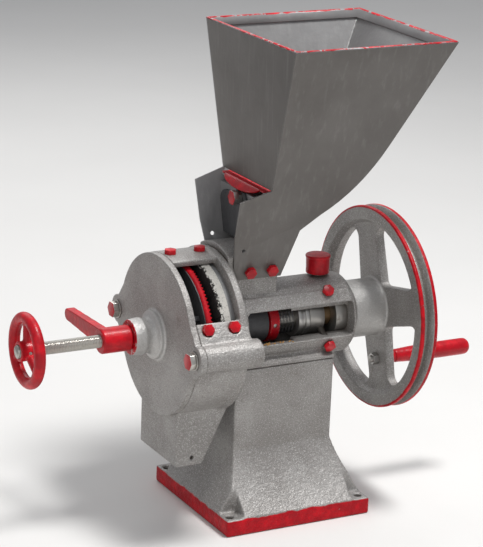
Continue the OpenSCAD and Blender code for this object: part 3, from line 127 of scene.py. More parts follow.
class Shader:
    """A node material under construction, with short calls for the nodes it needs."""

    def __init__(self, name, **values):
        self.material = bpy.data.materials.new(name)
        self.material.use_nodes = True
        self.tree = self.material.node_tree
        self.bsdf = self.tree.nodes["Principled BSDF"]
        for key, value in values.items():
            self.bsdf.inputs[key.replace("_", " ")].default_value = value
        self.place = self.tree.nodes.new("ShaderNodeTexCoord").outputs["Object"]

    def feed(self, socket, value):
        """Links an output to a socket, or sets a plain value on it."""
        if isinstance(value, bpy.types.NodeSocket):
            self.tree.links.new(value, socket)
        elif isinstance(value, tuple) and len(value) == 3 and socket.type == "RGBA":
            socket.default_value = (*value, 1)
        else:
            socket.default_value = value

    def noise(self, scale, detail=3.0, rough=0.5, stretch=None):
        """Noise factor, with `scale` cells a metre; stretch gives a scale for each axis."""
        node = self.tree.nodes.new("ShaderNodeTexNoise")
        place = self.place
        if stretch:
            mapping = self.tree.nodes.new("ShaderNodeMapping")
            mapping.inputs["Scale"].default_value = stretch
            self.feed(mapping.inputs["Vector"], self.place)
            place = mapping.outputs["Vector"]
        self.feed(node.inputs["Vector"], place)
        node.inputs["Scale"].default_value = scale
        node.inputs["Detail"].default_value = detail
        node.inputs["Roughness"].default_value = rough
        return node.outputs["Fac"]

    def math(self, operation, a, b=0.0):
        """Result of a Math node; b is left out for an operation on one number."""
        node = self.tree.nodes.new("ShaderNodeMath")
        node.operation = operation
        self.feed(node.inputs[0], a)
        self.feed(node.inputs[1], b)
        return node.outputs[0]

    def times(self, first, *others):
        """Product of all the values."""
        for other in others:
            first = self.math("MULTIPLY", first, other)
        return first

    def ragged(self, width, scale, detail=3, rough=0.5):
        """Noise about 0, up to half of width either way, that roughens a border."""
        return self.times(self.math("SUBTRACT", self.noise(scale, detail, rough), 0.5), width)

    def step(self, value, low, high):
        """0 below low, 1 above high, smooth between; low may be the larger one."""
        node = self.tree.nodes.new("ShaderNodeMapRange")
        node.interpolation_type = "SMOOTHSTEP"
        turned = low > high
        self.feed(node.inputs["Value"], value)
        node.inputs["From Min"].default_value = min(low, high)
        node.inputs["From Max"].default_value = max(low, high)
        node.inputs["To Min"].default_value = 1.0 if turned else 0.0
        node.inputs["To Max"].default_value = 0.0 if turned else 1.0
        return node.outputs["Result"]

    def mix(self, factor, a, b):
        """Colour a where factor is 0 and colour b where it is 1."""
        node = self.tree.nodes.new("ShaderNodeMix")
        node.data_type = "RGBA"
        self.feed(node.inputs["Factor"], factor)
        self.feed(node.inputs[6], a)
        self.feed(node.inputs[7], b)
        return node.outputs[2]

    def level(self, factor, a, b):
        """Number a where factor is 0 and number b where it is 1."""
        return self.math("ADD", self.times(factor, b - a), a)

    def axis(self, name, source=None):
        """One coordinate of the place on the object, or of another vector."""
        node = self.tree.nodes.new("ShaderNodeSeparateXYZ")
        self.feed(node.inputs[0], source or self.place)
        return node.outputs[name]

    def normal(self):
        """The way the surface looks."""
        return self.tree.nodes.new("ShaderNodeNewGeometry").outputs["Normal"]

    def shaft_radius(self):
        """Distance from the shaft's axis."""
        y = self.axis("Y")
        z = self.math("SUBTRACT", self.axis("Z"), SHAFT_Z)
        return self.math("SQRT", self.math("ADD", self.times(y, y), self.times(z, z)))

    def corners(self, distance):
        """1 in the open, towards 0 in corners and under edges."""
        node = self.tree.nodes.new("ShaderNodeAmbientOcclusion")
        node.samples = 6
        node.inputs["Distance"].default_value = distance
        return node.outputs["AO"]

    def edges(self, radius):
        """1 on sharp edges and 0 on faces."""
        node = self.tree.nodes.new("ShaderNodeBevel")
        node.samples = 4
        node.inputs["Radius"].default_value = radius
        dot = self.tree.nodes.new("ShaderNodeVectorMath")
        dot.operation = "DOT_PRODUCT"
        self.feed(dot.inputs[0], node.outputs[0])
        self.feed(dot.inputs[1], self.normal())
        return self.step(dot.outputs["Value"], *EDGE_DOTS)

    def bump(self, *layers):
        """Adds bumps from (height, depth in metres) layers."""
        previous = None
        for height, depth in layers:
            node = self.tree.nodes.new("ShaderNodeBump")
            node.inputs["Strength"].default_value = 1.0
            node.inputs["Distance"].default_value = depth
            self.feed(node.inputs["Height"], height)
            if previous:
                self.feed(node.inputs["Normal"], previous)
            previous = node.outputs[0]
        self.feed(self.bsdf.inputs["Normal"], previous)

    def colour(self, value):
        """Sets the base colour."""
        self.feed(self.bsdf.inputs["Base Color"], value)

    def rough(self, value):
        """Sets the roughness."""
        self.feed(self.bsdf.inputs["Roughness"], value)


# Colours. A pair holds the two tones of a cloudy surface.
SILVER = (0.34, 0.326, 0.312)
SILVER_DULL = (0.25, 0.235, 0.222)
SILVER_BRIGHT = (0.66, 0.65, 0.63)
SILVER_DARK = (0.13, 0.12, 0.112)
# One sheet paint in two tones: the outer plates' darker tones are painted shade, the inner plates'
# lighter tones painted light.
SHEET_OUT_SHADED = ((0.125, 0.115, 0.106), (0.16, 0.149, 0.139))
SHEET_IN_LIT = ((0.25, 0.246, 0.245), (0.33, 0.327, 0.325))
# Brown of stains on the castings, and of the painted shade in their corners.
DIRT_AND_SHADE = (0.12, 0.09, 0.065)
RED = (0.58, 0.003, 0.012)
RED_DARK = (0.38, 0.002, 0.009)
CHIP = (0.3, 0.28, 0.26)
ZINC = (0.55, 0.53, 0.49)
STEEL = (0.4, 0.385, 0.36)
STEEL_BRIGHT = (0.5, 0.49, 0.47)
STEEL_SCREW = (0.46, 0.44, 0.4)
STEEL_SHANK = (0.2, 0.185, 0.17)
SOLDER = (0.75, 0.74, 0.72)
# Brown of grime on steel, and of the painted shade in its corners.
GRIME_AND_SHADE = (0.11, 0.08, 0.055)
IRON = (0.05, 0.05, 0.052)
IRON_SPRING = (0.07, 0.07, 0.072)
IRON_BACKING = (0.13, 0.13, 0.13)
BRONZE = ((0.1, 0.065, 0.035), (0.24, 0.15, 0.07))
STONE_PALE = ((0.4, 0.385, 0.35), (0.62, 0.6, 0.55))
STONE_DARK = ((0.035, 0.035, 0.035), (0.09, 0.088, 0.085))
STONE_SPECK = (0.2, 0.19, 0.18)
# Black of the stone's chipped edge, and of the grinding face, which is partly painted shade.
STONE_FACE_AND_SHADE = (0.022, 0.02, 0.019)
GRAIN = ((0.5, 0.2, 0.03), (0.62, 0.4, 0.14))
FLOOR = ((0.68, 0.67, 0.65), (0.73, 0.72, 0.7))

DUST_AND_SHADE = 0.7  # share of the brown painted into the corners of the castings as painted shade, and 0.6 of it for brown stains
CAST_METALLIC = 0.35
LAND_R = 124.8 * MM  # radius at which the pulley's lands start
RIM_R = 120 * MM  # radius outside which only the pulley's rim lies
GROOVE_HALF = 6.6 * MM  # half the width of the belt groove at the lands
FOOT_RED_TOP = 20.4 * MM  # height of the brushed line on the foot plate
HEAD_R = 51 * MM  # distance from the shaft's axis at which the set screws' heads start
BOSS_PAINTED_LIGHT_R = 32 * MM  # the cover's boss is painted lighter inside this radius, as painted light
HUB_PAINTED_LIGHT_R = 38 * MM  # and so is the pulley's hub


def silver_colour(shader):
    """Aluminium paint with bright flakes, dark pits, brown stains, and painted shade in the
    corners in the same brown.
    """
    flakes = shader.step(shader.noise(750, 3), 0.53, 0.66)
    pits = shader.step(shader.noise(420, 4, 0.6), 0.46, 0.34)
    cloud = shader.step(shader.noise(14, 4, 0.6), 0.35, 0.7)
    paint = shader.mix(cloud, SILVER_DULL, SILVER)
    paint = shader.mix(shader.times(flakes, 0.5), paint, SILVER_BRIGHT)
    paint = shader.mix(shader.times(pits, 0.4), paint, SILVER_DARK)
    # Painted shade: brown in corners and under edges, from ambient occlusion.
    open_air = shader.corners(12 * MM)
    corner_shade = shader.times(shader.step(open_air, 0.75, 0.2), DUST_AND_SHADE)
    stain = shader.times(shader.step(shader.noise(38, 5, 0.7), 0.6, 0.8), DUST_AND_SHADE * 0.6)
    return shader.mix(shader.math("MAXIMUM", corner_shade, stain), paint, DIRT_AND_SHADE)


def casting_bump(shader):
    """Sand casting's lumps, grit and fine grain."""
    shader.bump((shader.noise(150, 3, 0.6), 1.1 * MM),
                (shader.noise(420, 3, 0.6), 0.55 * MM),
                (shader.noise(1100, 2), 0.16 * MM))


def silver_cast():
    """Rough sand casting under aluminium paint."""
    shader = Shader("silver_cast", Metallic=CAST_METALLIC)
    shader.colour(silver_colour(shader))
    shader.rough(shader.level(shader.noise(260, 3), 0.34, 0.62))
    casting_bump(shader)
    return shader.material


def red_colour(shader):
    """Red enamel with darker smears."""
    smear = shader.step(shader.noise(60, 4, 0.65), 0.42, 0.68)
    return shader.mix(smear, RED_DARK, RED)


def red_over_silver(name, red_part, painted_light_r=0.0):
    """Casting in aluminium paint, painted lighter as painted light inside the given radius
    of the shaft's axis if that is given, and red where red_part(shader) is 1."""
    shader = Shader(name)
    silver = silver_colour(shader)
    if painted_light_r:
        # Painted light: halfway to bright silver near the shaft's axis.
        near = shader.step(shader.shaft_radius(), painted_light_r + 2 * MM, painted_light_r - 2 * MM)
        silver = shader.mix(shader.times(near, 0.5), silver, SILVER_BRIGHT)
    mask = red_part(shader)
    shader.feed(shader.bsdf.inputs["Metallic"], shader.level(mask, CAST_METALLIC, 0.0))
    shader.feed(shader.bsdf.inputs["Specular IOR Level"], shader.level(mask, 0.5, 0.2))
    shader.colour(shader.mix(mask, silver, red_colour(shader)))
    shader.rough(shader.level(mask, 0.48, 0.4))
    casting_bump(shader)
    return shader.material


def foot_red(shader):
    """Red on the sides of the foot plate, up to an uneven brushed line."""
    height = shader.math("ADD", shader.axis("Z"), shader.ragged(6 * MM, 70))
    low = shader.step(height, FOOT_RED_TOP + 0.8 * MM, FOOT_RED_TOP - 0.8 * MM)
    across = shader.math("MAXIMUM", shader.math("ABSOLUTE", shader.axis("X")),
                         shader.math("ABSOLUTE", shader.axis("Y")))
    outside = shader.step(across, FOOT_HALF - 2.2 * MM, FOOT_HALF - 1.4 * MM)
    side = shader.step(shader.math("ABSOLUTE", shader.axis("Z", shader.normal())), 0.75, 0.45)
    worn = shader.step(shader.noise(120, 4, 0.6), 0.24, 0.29)
    return shader.times(low, worn, side, outside)


def boss_red(shader):
    """Worn red on the flat end of the cover's boss, round the lock nut."""
    end = shader.step(shader.axis("X"), BOSS_X + 1.2 * MM, BOSS_X + 0.6 * MM)
    worn = shader.step(shader.noise(150, 4, 0.65), 0.38, 0.46)
    return shader.times(end, worn)


def land_red(shader):
    """Red on the lands beside the belt groove and round the rim's corners, a little chipped."""
    uneven = shader.times(shader.noise(90, 3), 2 * MM)
    radius = shader.math("ADD", shader.shaft_radius(), uneven)
    land = shader.step(radius, LAND_R, LAND_R + MM)
    rim = [v.co.x for v in NODES["pulley"].data.vertices if v.co.z > SHAFT_Z + RIM_R]
    middle = (min(rim) + max(rim)) / 2
    off_middle = shader.math("ABSOLUTE", shader.math("SUBTRACT", shader.axis("X"), middle))
    beside = shader.step(off_middle, GROOVE_HALF, GROOVE_HALF + 0.5 * MM)
    worn = shader.step(shader.noise(160, 4, 0.65), 0.28, 0.35)
    return shader.times(land, beside, worn)


def sheet_colour(shader, streaks, tones):
    """Two tones of aluminium paint in clouds, with faint streaks and fine specks."""
    cloud = shader.noise(10, 4, 0.6)
    paint = shader.mix(shader.step(cloud, 0.3, 0.7), *tones)
    brushed = shader.times(shader.step(streaks, 0.5, 0.75), 0.08)
    paint = shader.mix(brushed, paint, SILVER_BRIGHT)
    specks = shader.step(shader.noise(520, 3), 0.62, 0.7)
    return shader.mix(shader.times(specks, 0.35), paint, tones[1])


def sheet_streaks(shader):
    """Brush streaks that run down the plates."""
    return shader.noise(1, 4, 0.6, stretch=(160, 160, 14))


def sheet_surface(shader, streaks):
    """Roughness and bumps of painted sheet metal."""
    shader.rough(shader.level(streaks, 0.36, 0.6))
    shader.bump((shader.noise(22, 3), 0.8 * MM), (shader.noise(240, 3), 0.18 * MM),
                (streaks, 0.08 * MM))


def silver_sheet(name, tones):
    """Sheet metal under aluminium paint, with faint brush streaks that run down the plates."""
    shader = Shader(name, Metallic=0.3)
    streaks = sheet_streaks(shader)
    worn = shader.times(shader.edges(1.2 * MM), 0.5)
    shader.colour(shader.mix(worn, sheet_colour(shader, streaks, tones), SILVER))
    sheet_surface(shader, streaks)
    return shader.material


def lip_paint(top):
    """Sheet metal paint with a thin chipped red line along the folded edge."""
    shader = Shader("lip_paint", Metallic=0.2)
    streaks = sheet_streaks(shader)
    height = shader.math("ADD", shader.axis("Z"), shader.ragged(4 * MM, 90))
    line = shader.step(height, top + 0.2 * MM, top + 1.2 * MM)
    line = shader.times(line, shader.step(shader.noise(130, 4, 0.65), 0.4, 0.47))
    shader.colour(shader.mix(line, sheet_colour(shader, streaks, SHEET_IN_LIT), red_colour(shader)))
    sheet_surface(shader, streaks)
    return shader.material


def red_enamel(name="red_enamel", wear=0.6, rough=0.3, coat=0.15):
    """Red enamel brushed on rough iron, chipped at its edges."""
    shader = Shader(name, Coat_Weight=coat, Coat_Roughness=0.18, Specular_IOR_Level=0.25)
    chips = shader.times(shader.edges(1.6 * MM),
                         shader.step(shader.noise(330, 4, 0.7), 0.56 - 0.1 * wear, 0.64))
    spots = shader.step(shader.noise(210, 5, 0.7), 0.72 - 0.06 * wear, 0.76)
    bare = shader.math("MAXIMUM", chips, spots)
    shader.colour(shader.mix(bare, red_colour(shader), CHIP))
    shader.rough(shader.level(shader.noise(140, 3), rough, rough + 0.25))
    shader.bump((shader.noise(170, 3, 0.6), 0.5 * MM), (shader.noise(700, 2), 0.12 * MM),
                (bare, -0.15 * MM))
    return shader.material


def bolt_paint(name, facing):
    """Zinc bolt whose head was dabbed red; facing is the way the head looks."""
    shader = Shader(name)
    dot = shader.tree.nodes.new("ShaderNodeVectorMath")
    dot.operation = "DOT_PRODUCT"
    shader.feed(dot.inputs[0], shader.normal())
    dot.inputs[1].default_value = facing
    red = shader.step(shader.math("ADD", dot.outputs["Value"], shader.ragged(0.9, 320)),
                      0.28, 0.45)
    shader.colour(shader.mix(red, ZINC, red_colour(shader)))
    shader.feed(shader.bsdf.inputs["Metallic"], shader.level(red, 0.9, 0.0))
    shader.rough(shader.level(red, 0.33, 0.36))
    shader.bump((shader.noise(500, 3), 0.18 * MM))
    return shader.material


def set_screw_paint():
    """Red head outside the housing, plain steel shank inside it."""
    shader = Shader("set_screw_red")
    outside = shader.step(shader.shaft_radius(), HEAD_R - 0.2 * MM, HEAD_R + 0.2 * MM)
    shader.colour(shader.mix(outside, STEEL_SHANK, red_colour(shader)))
    shader.feed(shader.bsdf.inputs["Metallic"], shader.level(outside, 0.8, 0.0))
    shader.rough(shader.level(outside, 0.45, 0.32))
    shader.bump((shader.noise(420, 3), 0.2 * MM))
    return shader.material


def steel(name="worn_steel", tone=STEEL, rough=0.34, grime_and_shade=0.5):
    """Turned steel with brown grime, and painted shade in its corners in the same brown."""
    shader = Shader(name, Metallic=0.85)
    lines = shader.noise(1, 3, 0.5, stretch=(1500, 60, 60))
    dirt = shader.step(shader.noise(75, 5, 0.7), 0.62 - 0.14 * grime_and_shade, 0.78)
    # Painted shade: brown in the steel's corners, from ambient occlusion.
    corner = shader.step(shader.corners(6 * MM), 0.7, 0.2)
    dirt_and_shade = shader.math("MAXIMUM", dirt, shader.times(corner, grime_and_shade))
    shader.colour(shader.mix(dirt_and_shade, tone, GRIME_AND_SHADE))
    shader.rough(shader.level(dirt_and_shade, rough, 0.72))
    shader.bump((lines, 0.04 * MM), (shader.noise(600, 3), 0.06 * MM))
    return shader.material


def dark_iron(name="dark_iron", tone=IRON):
    """Oily dark cast iron."""
    shader = Shader(name, Metallic=0.3)
    shader.colour(shader.mix(shader.noise(80, 4, 0.65), tone,
                             tuple(2.4 * value for value in tone)))
    shader.rough(shader.level(shader.noise(120, 3), 0.4, 0.68))
    shader.bump((shader.noise(300, 4, 0.6), 0.4 * MM))
    return shader.material


def bronze():
    """Bearing bronze, dark with old oil."""
    shader = Shader("bronze", Metallic=0.7)
    shader.colour(shader.mix(shader.noise(90, 4), *BRONZE))
    shader.rough(shader.level(shader.noise(160, 3), 0.35, 0.6))
    shader.bump((shader.noise(500, 3), 0.08 * MM))
    return shader.material


def stone_colour(shader, tones, share):
    """Clouds of two tones with a share of grains in a third, and the grains' mask."""
    body = shader.mix(shader.noise(60, 5, 0.7), *tones)
    grains = shader.step(shader.noise(520, 3, 0.6), 0.56, 0.63)
    return shader.mix(shader.times(grains, share), body, STONE_SPECK), grains


def stone_surface(shader, grains, grit):
    """Roughness and bumps of a millstone; grit is the depth of its finest bumps."""
    shader.rough(shader.level(grains, 0.85, 0.95))
    shader.bump((shader.noise(160, 5, 0.7), 0.9 * MM), (shader.noise(700, 3), grit))


def dark_stone():
    """Gritty dark millstone, with pale grains."""
    shader = Shader("dark_stone")
    body, grains = stone_colour(shader, STONE_DARK, 0.6)
    shader.colour(body)
    stone_surface(shader, grains, 0.315 * MM)
    return shader.material


def chipped_stone(face):
    """Pale millstone, black where its edge is chipped and on its grinding face, whose black there
    is partly its own and partly painted shade of the gap between the stones.
    """
    shader = Shader("chipped_stone")
    body, grains = stone_colour(shader, STONE_PALE, 0.5)
    near = shader.step(shader.math("ADD", shader.axis("X"), shader.ragged(12 * MM, 150, 5, 0.7)),
                       face + 4.2 * MM, face + 3.4 * MM)
    blotch = shader.step(shader.noise(260, 3, 0.6), 0.47, 0.52)
    edge = shader.times(near, blotch)
    # Partly painted shade: faces that look along −X, the grinding face in the gap between the
    # stones, go black.
    facing = shader.step(shader.axis("X", shader.normal()), -0.7, -0.9)
    shader.colour(shader.mix(shader.math("MAXIMUM", edge, facing), body, STONE_FACE_AND_SHADE))
    stone_surface(shader, grains, 0.3 * MM)
    return shader.material


# ---------------------------------------------------------------- shapes

def link(name, mesh):
    """New object in the scene."""
    obj = bpy.data.objects.new(name, mesh)
    bpy.context.scene.collection.objects.link(obj)
    return obj


def build(name, points, faces):
    """New object made of points and faces."""
    mesh = bpy.data.meshes.new(name)
    mesh.from_pydata(points, [], faces)
    return link(name, mesh)


def apply_modifiers(obj):
    """Turns an object's modifiers into mesh."""
    depsgraph = bpy.context.evaluated_depsgraph_get()
    mesh = bpy.data.meshes.new_from_object(obj.evaluated_get(depsgraph))
    obj.modifiers.clear()
    obj.data = mesh


def paint(obj, material):
    """Gives an object one material and smooth shading."""
    obj.data.materials.clear()
    obj.data.materials.append(material)
    for polygon in obj.data.polygons:
        polygon.use_smooth = True


def shade_flat_over(obj, degrees):
    """Keeps edges sharper than this angle crisp in the shading."""
    obj.data.set_sharp_from_angle(angle=math.radians(degrees))


def casting(node, voxel, passes, material):
    """Copy of a CAD node whose edges are rounded as sand casting rounds them: remeshed on a grid
    of voxel, then smoothed passes times."""
    obj = link(node + "_casting", NODES[node].data.copy())
    remesh = obj.modifiers.new("remesh", "REMESH")
    remesh.mode = "VOXEL"
    remesh.voxel_size = voxel
    smooth = obj.modifiers.new("smooth", "SMOOTH")
    smooth.factor = 0.5
    smooth.iterations = passes
    apply_modifiers(obj)
    paint(obj, material)
    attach(obj, BODY_OF[node])
    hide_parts(node)


WELD_GAP = 0.01 * MM
FLAT_ANGLE = math.radians(0.6)  # faces that meet below this angle are made one
EDGE_ANGLE = math.radians(32)  # edges sharper than this are taken off


def machined(node, material, bevel):
    """A CAD node as it is, with bevel taken off its sharp edges and a better material."""
    obj = NODES[node]
    weld = obj.modifiers.new("weld", "WELD")
    weld.merge_threshold = WELD_GAP
    flat = obj.modifiers.new("flat", "DECIMATE")
    flat.decimate_type = "DISSOLVE"
    flat.angle_limit = FLAT_ANGLE
    if bevel:
        edge = obj.modifiers.new("edge", "BEVEL")
        edge.width = bevel
        edge.segments = 2
        edge.limit_method = "ANGLE"
        edge.angle_limit = EDGE_ANGLE
        edge.harden_normals = True
    paint(obj, material)


def add_floor():
    """Plain pale floor that reaches past every view."""
    size = 30
    floor = build("floor", [(-size, -size, 0), (size, -size, 0), (size, size, 0),
                            (-size, size, 0)], [(0, 1, 2, 3)])
    shader = Shader("floor_paint", Roughness=0.8)
    shader.colour(shader.mix(shader.noise(3, 3), *FLOOR))
    floor.data.materials.append(shader.material)


# ---------------------------------------------------------------- the adjusting screw

SCREW_PITCH = 2 * MM
SCREW_THREAD = 0.9 * MM
SCREW_PLAIN = 4 * MM
THREAD_STEEP = 1.6  # over 1, so that the thread has flat crests and roots


def threaded_bar(name, x0, x1, radius, pitch, depth, bare_from):
    """Screw along the shaft's axis, plain from bare_from on."""
    sides = 24
    rings_per_pitch = 6
    count = int((x1 - x0) / pitch * rings_per_pitch)
    points = []
    for i in range(count + 1):
        x = x0 + (x1 - x0) * i / count
        for k in range(sides):
            phase = ((x - x0) / pitch + k / sides) % 1
            cut = depth * (1 - abs(2 * phase - 1) * THREAD_STEEP)
            r = radius - min(max(cut, 0), depth)
            if x > bare_from or i in (0, count):
                r = radius - depth * 0.5
            angle = 2 * math.pi * k / sides
            points.append((x, r * math.cos(angle), SHAFT_Z + r * math.sin(angle)))
    faces = [(i * sides + k, i * sides + (k + 1) % sides,
              (i + 1) * sides + (k + 1) % sides, (i + 1) * sides + k)
             for i in range(count) for k in range(sides)]
    faces.append(tuple(range(sides - 1, -1, -1)))
    faces.append(tuple(count * sides + k for k in range(sides)))
    return build(name, points, faces)


def add_screw():
    """Adjusting spindle with its thread cut."""
    low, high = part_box("adjusting_spindle")
    obj = threaded_bar("adjusting_screw", low.x, high.x, (high.z - low.z) / 2, SCREW_PITCH,
                       SCREW_THREAD, high.x - SCREW_PLAIN)
    paint(obj, steel("screw_steel", STEEL_SCREW, 0.3, 0.4))
    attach(obj, "screw")
    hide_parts("adjusting_spindle")


# ---------------------------------------------------------------- the fixed stone

def lathe(name, profile, sides, change=None):
    """Closed ring of (x, radius) points turned about the shaft's axis; change may move a point."""
    points = []
    for k in range(sides):
        angle = 2 * math.pi * k / sides
        for i, (x, radius) in enumerate(profile):
            if change:
                x, radius = change(i, x, radius, angle)
            points.append((x, radius * math.cos(angle), SHAFT_Z + radius * math.sin(angle)))
    count = len(profile)
    faces = [(k * count + i, k * count + (i + 1) % count,
              (k + 1) % sides * count + (i + 1) % count, (k + 1) % sides * count + i)
             for k in range(sides) for i in range(count)]
    return build(name, points, faces)


STONE_CHIP = 2.6 * MM
STONE_BACKING = 7 * MM
STONE_EYE_R = 34 * MM
BACKING_STEP = 2.2 * MM  # the backing plate's radius is this much smaller


def add_fixed_stone():
    """Pale stone whose edge is chipped, on a grey backing plate of slightly smaller radius."""
    low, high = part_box("fixed_stone")
    radius = (high.z - low.z) / 2
    face = low.x
    back = high.x - STONE_BACKING
    profile = [(back, STONE_EYE_R), (back, radius - 2.5 * MM), (back, radius),
               (face + 5 * MM, radius), (face + 2.4 * MM, radius),
               (face + 1.1 * MM, radius - 0.3 * MM), (face + 0.3 * MM, radius - 1.2 * MM),
               (face, radius - 2.6 * MM), (face, STONE_EYE_R)]
    chipped = {4, 5, 6, 7}

    def chip(i, x, r, angle):
        """Moves a point of the chipped edge inwards by coarse and fine noise."""
        if i not in chipped:
            return x, r
        place = Vector((9 * math.cos(angle), 9 * math.sin(angle), 0.37 * i))
        depth = max(noise.noise(place * 2.2) + 0.35 * noise.noise(place * 7), 0)
        return x + STONE_CHIP * depth, r - STONE_CHIP * 0.6 * depth

    stone_ring = lathe("fixed_stone_ring", profile, 540, chip)
    paint(stone_ring, chipped_stone(face))
    shade_flat_over(stone_ring, 30)
    front = back + 0.2 * MM
    backing = lathe("stone_backing", [(high.x, STONE_EYE_R), (high.x, radius - BACKING_STEP),
                                      (front, radius - BACKING_STEP), (front, STONE_EYE_R)],
                    180)
    paint(backing, dark_iron("backing_iron", IRON_BACKING))
    shade_flat_over(backing, 30)
    for piece in (stone_ring, backing):
        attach(piece, "frame")
        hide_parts("fixed_stone")


# ---------------------------------------------------------------- the hopper's mouth

# Section of the folded edge in mm: inwards from the sheet's outer face, and up from its top.
LIP_SECTION = ((0.0, 0.2), (0.3, 1.3), (1.1, 1.9), (3.1, 1.9), (3.9, 1.2), (4.1, 0.0),
               (4.1, -8.6), (3.7, -9.2), (2.4, -9.0), (2.3, 0.0))


# How far each wall of the hopper leans inwards for each metre down.
LEAN_LEFT = 0.0233
LEAN_RIGHT = 0.505
LEAN_SIDE = 0.2866


def add_hopper_lip():
    """Edge of the sheets folded over inwards, which the red line is painted on."""
    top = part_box("hopper_front")[1].z
    x0, x1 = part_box("hopper_left")[0].x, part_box("hopper_rim")[1].x - MM
    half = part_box("hopper_rim")[1].y - MM
    corners = ((x0, -half, 1, 1), (x1, -half, -1, 1), (x1, half, -1, -1), (x0, half, 1, -1))
    points, faces = [], []
    for x, y, inward_x, inward_y in corners:
        lean_x = LEAN_LEFT if inward_x > 0 else LEAN_RIGHT
        for offset, height in LIP_SECTION:
            fall = min(height, 0)
            points.append((x + inward_x * (offset - fall * lean_x) * MM,
                           y + inward_y * (offset - fall * LEAN_SIDE) * MM,
                           top + height * MM))
    count = len(LIP_SECTION)
    for i in range(4):
        for k in range(count):
            j, m = (i + 1) % 4, (k + 1) % count
            faces.append((i * count + k, j * count + k, j * count + m, i * count + m))
    lip = build("hopper_lip", points, faces)
    paint(lip, lip_paint(top))
    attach(lip, BODY_OF["hopper_rim"])
    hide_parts("hopper_rim")


SEAM_TOP = 12 * MM  # the solder starts this far below the mouth
SEAM_L = 80 * MM
SEAM_R = 1.2 * MM
SEAM_UNEVEN = 0.9 * MM
SEAM_INWARD = Vector((-3.4, -3.2, 0)) * MM


def add_hopper_seam():
    """Bright solder in the corner between the back plate and the sloping sheet."""
    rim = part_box("hopper_rim")[1]
    corner = Vector((rim.x, rim.y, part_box("hopper_front")[1].z))
    down = Vector((-LEAN_RIGHT, -LEAN_SIDE, -1))
    sides, rings = 6, 40
    points, faces = [], []
    for i in range(rings):
        place = corner + down * (SEAM_TOP + SEAM_L * i / rings) + SEAM_INWARD
        radius = SEAM_R + SEAM_UNEVEN * noise.noise(Vector((i * 0.9, 3.1, 0)))
        for k in range(sides):
            angle = 2 * math.pi * k / sides
            points.append(place + radius * Vector((math.cos(angle), math.sin(angle), 0)))
    for i in range(rings - 1):
        for k in range(sides):
            j = (k + 1) % sides
            faces.append((i * sides + k, (i + 1) * sides + k, (i + 1) * sides + j, i * sides + j))
    faces.append(tuple(range(sides)))
    faces.append(tuple((rings - 1) * sides + k for k in range(sides - 1, -1, -1)))
    seam = build("hopper_seam", points, faces)
    paint(seam, steel("solder", SOLDER, 0.3, 0.0))
    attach(seam, BODY_OF["hopper_back"])


# ---------------------------------------------------------------- crumbs of grain

CRUMBS = 70
CRUMB_X = (-50, 20, -42)  # least, most and likeliest, in mm
CRUMB_Y = (-46.5, -39.5)
CRUMB_SIZE = (0.5, 1.1)
LEDGE_DROP = 15.6 * MM  # from the shaft's axis down to the lower edge of the housing's window
CRUMB_CORNERS = ((-1, -0.7, 0), (1, -0.6, 0), (1.1, 0.7, 0), (-0.9, 0.8, 0),
                 (-0.5, -0.3, 0.9), (0.6, -0.2, 0.8), (0.5, 0.4, 1.0), (-0.4, 0.4, 0.8))
CRUMB_FACES = ((3, 2, 1, 0), (4, 5, 6, 7), (0, 1, 5, 4), (1, 2, 6, 5), (2, 3, 7, 6),
               (3, 0, 4, 7))


def add_crumbs():
    """Split grain that lies on the lower edge of the housing's window."""
    random.seed(7)
    ledge_z = SHAFT_Z - LEDGE_DROP
    points, faces = [], []
    for _ in range(CRUMBS):
        x = random.triangular(*CRUMB_X) * MM
        y = random.uniform(*CRUMB_Y) * MM
        size = random.uniform(*CRUMB_SIZE) * MM
        turn = Matrix.Rotation(random.uniform(0, 6), 3, "Z")
        first = len(points)
        for corner in CRUMB_CORNERS:
            points.append(Vector((x, y, ledge_z)) + size * (turn @ Vector(corner)))
        for face in CRUMB_FACES:
            faces.append(tuple(first + k for k in face))
    crumbs = build("grain_crumbs", points, faces)
    shader = Shader("grain", Roughness=0.7)
    shader.colour(shader.mix(shader.noise(400, 2), *GRAIN))
    crumbs.data.materials.append(shader.material)
    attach(crumbs, "frame")


# ---------------------------------------------------------------- putting it together

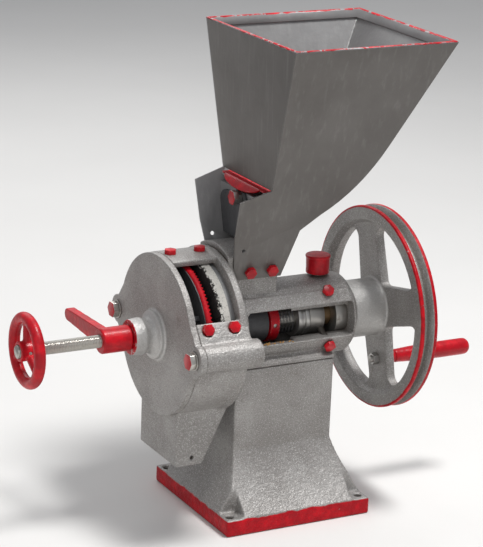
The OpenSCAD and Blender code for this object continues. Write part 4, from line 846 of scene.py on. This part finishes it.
def dress():
    """Rounds the castings and gives every CAD node its material."""
    cast = silver_cast()
    enamel = red_enamel()
    worn_steel = steel()
    bright_steel = steel("bright_steel", STEEL_BRIGHT, 0.3, 0.25)
    iron = dark_iron()
    bronze_metal = bronze()
    # One sheet paint twice: darker outside as painted shade, lighter inside as painted light.
    sheet_out_shaded = silver_sheet("sheet_outside_shaded", SHEET_OUT_SHADED)
    sheet_in_lit = silver_sheet("sheet_inside_lit", SHEET_IN_LIT)
    pedestal_paint = red_over_silver("pedestal_paint", foot_red)
    cover_paint = red_over_silver("cover_paint", boss_red, BOSS_PAINTED_LIGHT_R)
    pulley_paint = red_over_silver("pulley_paint", land_red, HUB_PAINTED_LIGHT_R)
    casting("pedestal", 1.8 * MM, 5, pedestal_paint)
    casting("bearing_housing", 1.2 * MM, 3, cast)
    casting("drum_casing", 1.4 * MM, 3, cast)
    casting("end_cover", 1.1 * MM, 2, cover_paint)
    casting("pulley", 1.2 * MM, 4, pulley_paint)
    casting("handwheel", 0.9 * MM, 10, enamel)
    casting("lock_lever", 0.8 * MM, 5, enamel)
    for node in ("hopper_front", "hopper_left"):
        machined(node, sheet_out_shaded, 0.4 * MM)
    for node in ("hopper_back", "hopper_bottom", "gate_rails", "flap_bar"):
        machined(node, sheet_in_lit, 0.4 * MM)
    machined("cover_bolts", bolt_paint("bolt_red_left", (-1, 0, 0)), 0.7 * MM)
    machined("flap_bolt", bolt_paint("bolt_red_flap", (-1, 0, 0)), 0.6 * MM)
    machined("set_screws", set_screw_paint(), 0.6 * MM)
    for node in ("window_screws", "hopper_bolts"):
        machined(node, red_enamel("red_" + node, 0.9), 0.6 * MM)
    for node in ("feed_gate", "grease_cup_cap", "spring_collar", "crank_ferrule"):
        machined(node, enamel, 0.5 * MM)
    machined("crank_grip", red_enamel("grip_enamel", 0.3, 0.2), 0.3 * MM)
    machined("runner_ring", red_enamel("ring_enamel", 0.2, 0.5, 0.0), 0)
    shade_flat_over(NODES["runner_ring"], 30)
    for node in ("pedestal_bolts", "cover_washers", "stone_screws",
                 "thrust_sleeve", "rear_bearing", "main_shaft", "feed_worm", "runner_nut",
                 "runner_pin", "collar_pin", "pulley_key", "pulley_washer", "pulley_nut",
                 "crank_pin", "thrust_cup", "thrust_ball", "handwheel_pin", "flap_nut"):
        machined(node, worn_steel, 0.4 * MM)
    machined("crank_nut", bright_steel, 0.6 * MM)
    machined("thrust_bearing", bright_steel, 0.5 * MM)
    machined("grease_cup_stem", cast, 0.5 * MM)
    for node in ("front_bearing", "runner_disc", "feed_flap"):
        machined(node, iron, 0.5 * MM)
    for node in ("front_bush", "rear_bush"):
        machined(node, bronze_metal, 0.4 * MM)
    machined("runner_stone", dark_stone(), 0.8 * MM)
    paint(NODES["pressure_spring"], dark_iron("spring_steel", IRON_SPRING))
    round_wire = NODES["pressure_spring"].modifiers.new("round", "SUBSURF")
    round_wire.levels = 1
    round_wire.render_levels = 1


add_camera()
add_light()
add_floor()
dress()
add_screw()
add_fixed_stone()
add_hopper_lip()
add_hopper_seam()
add_crumbs()
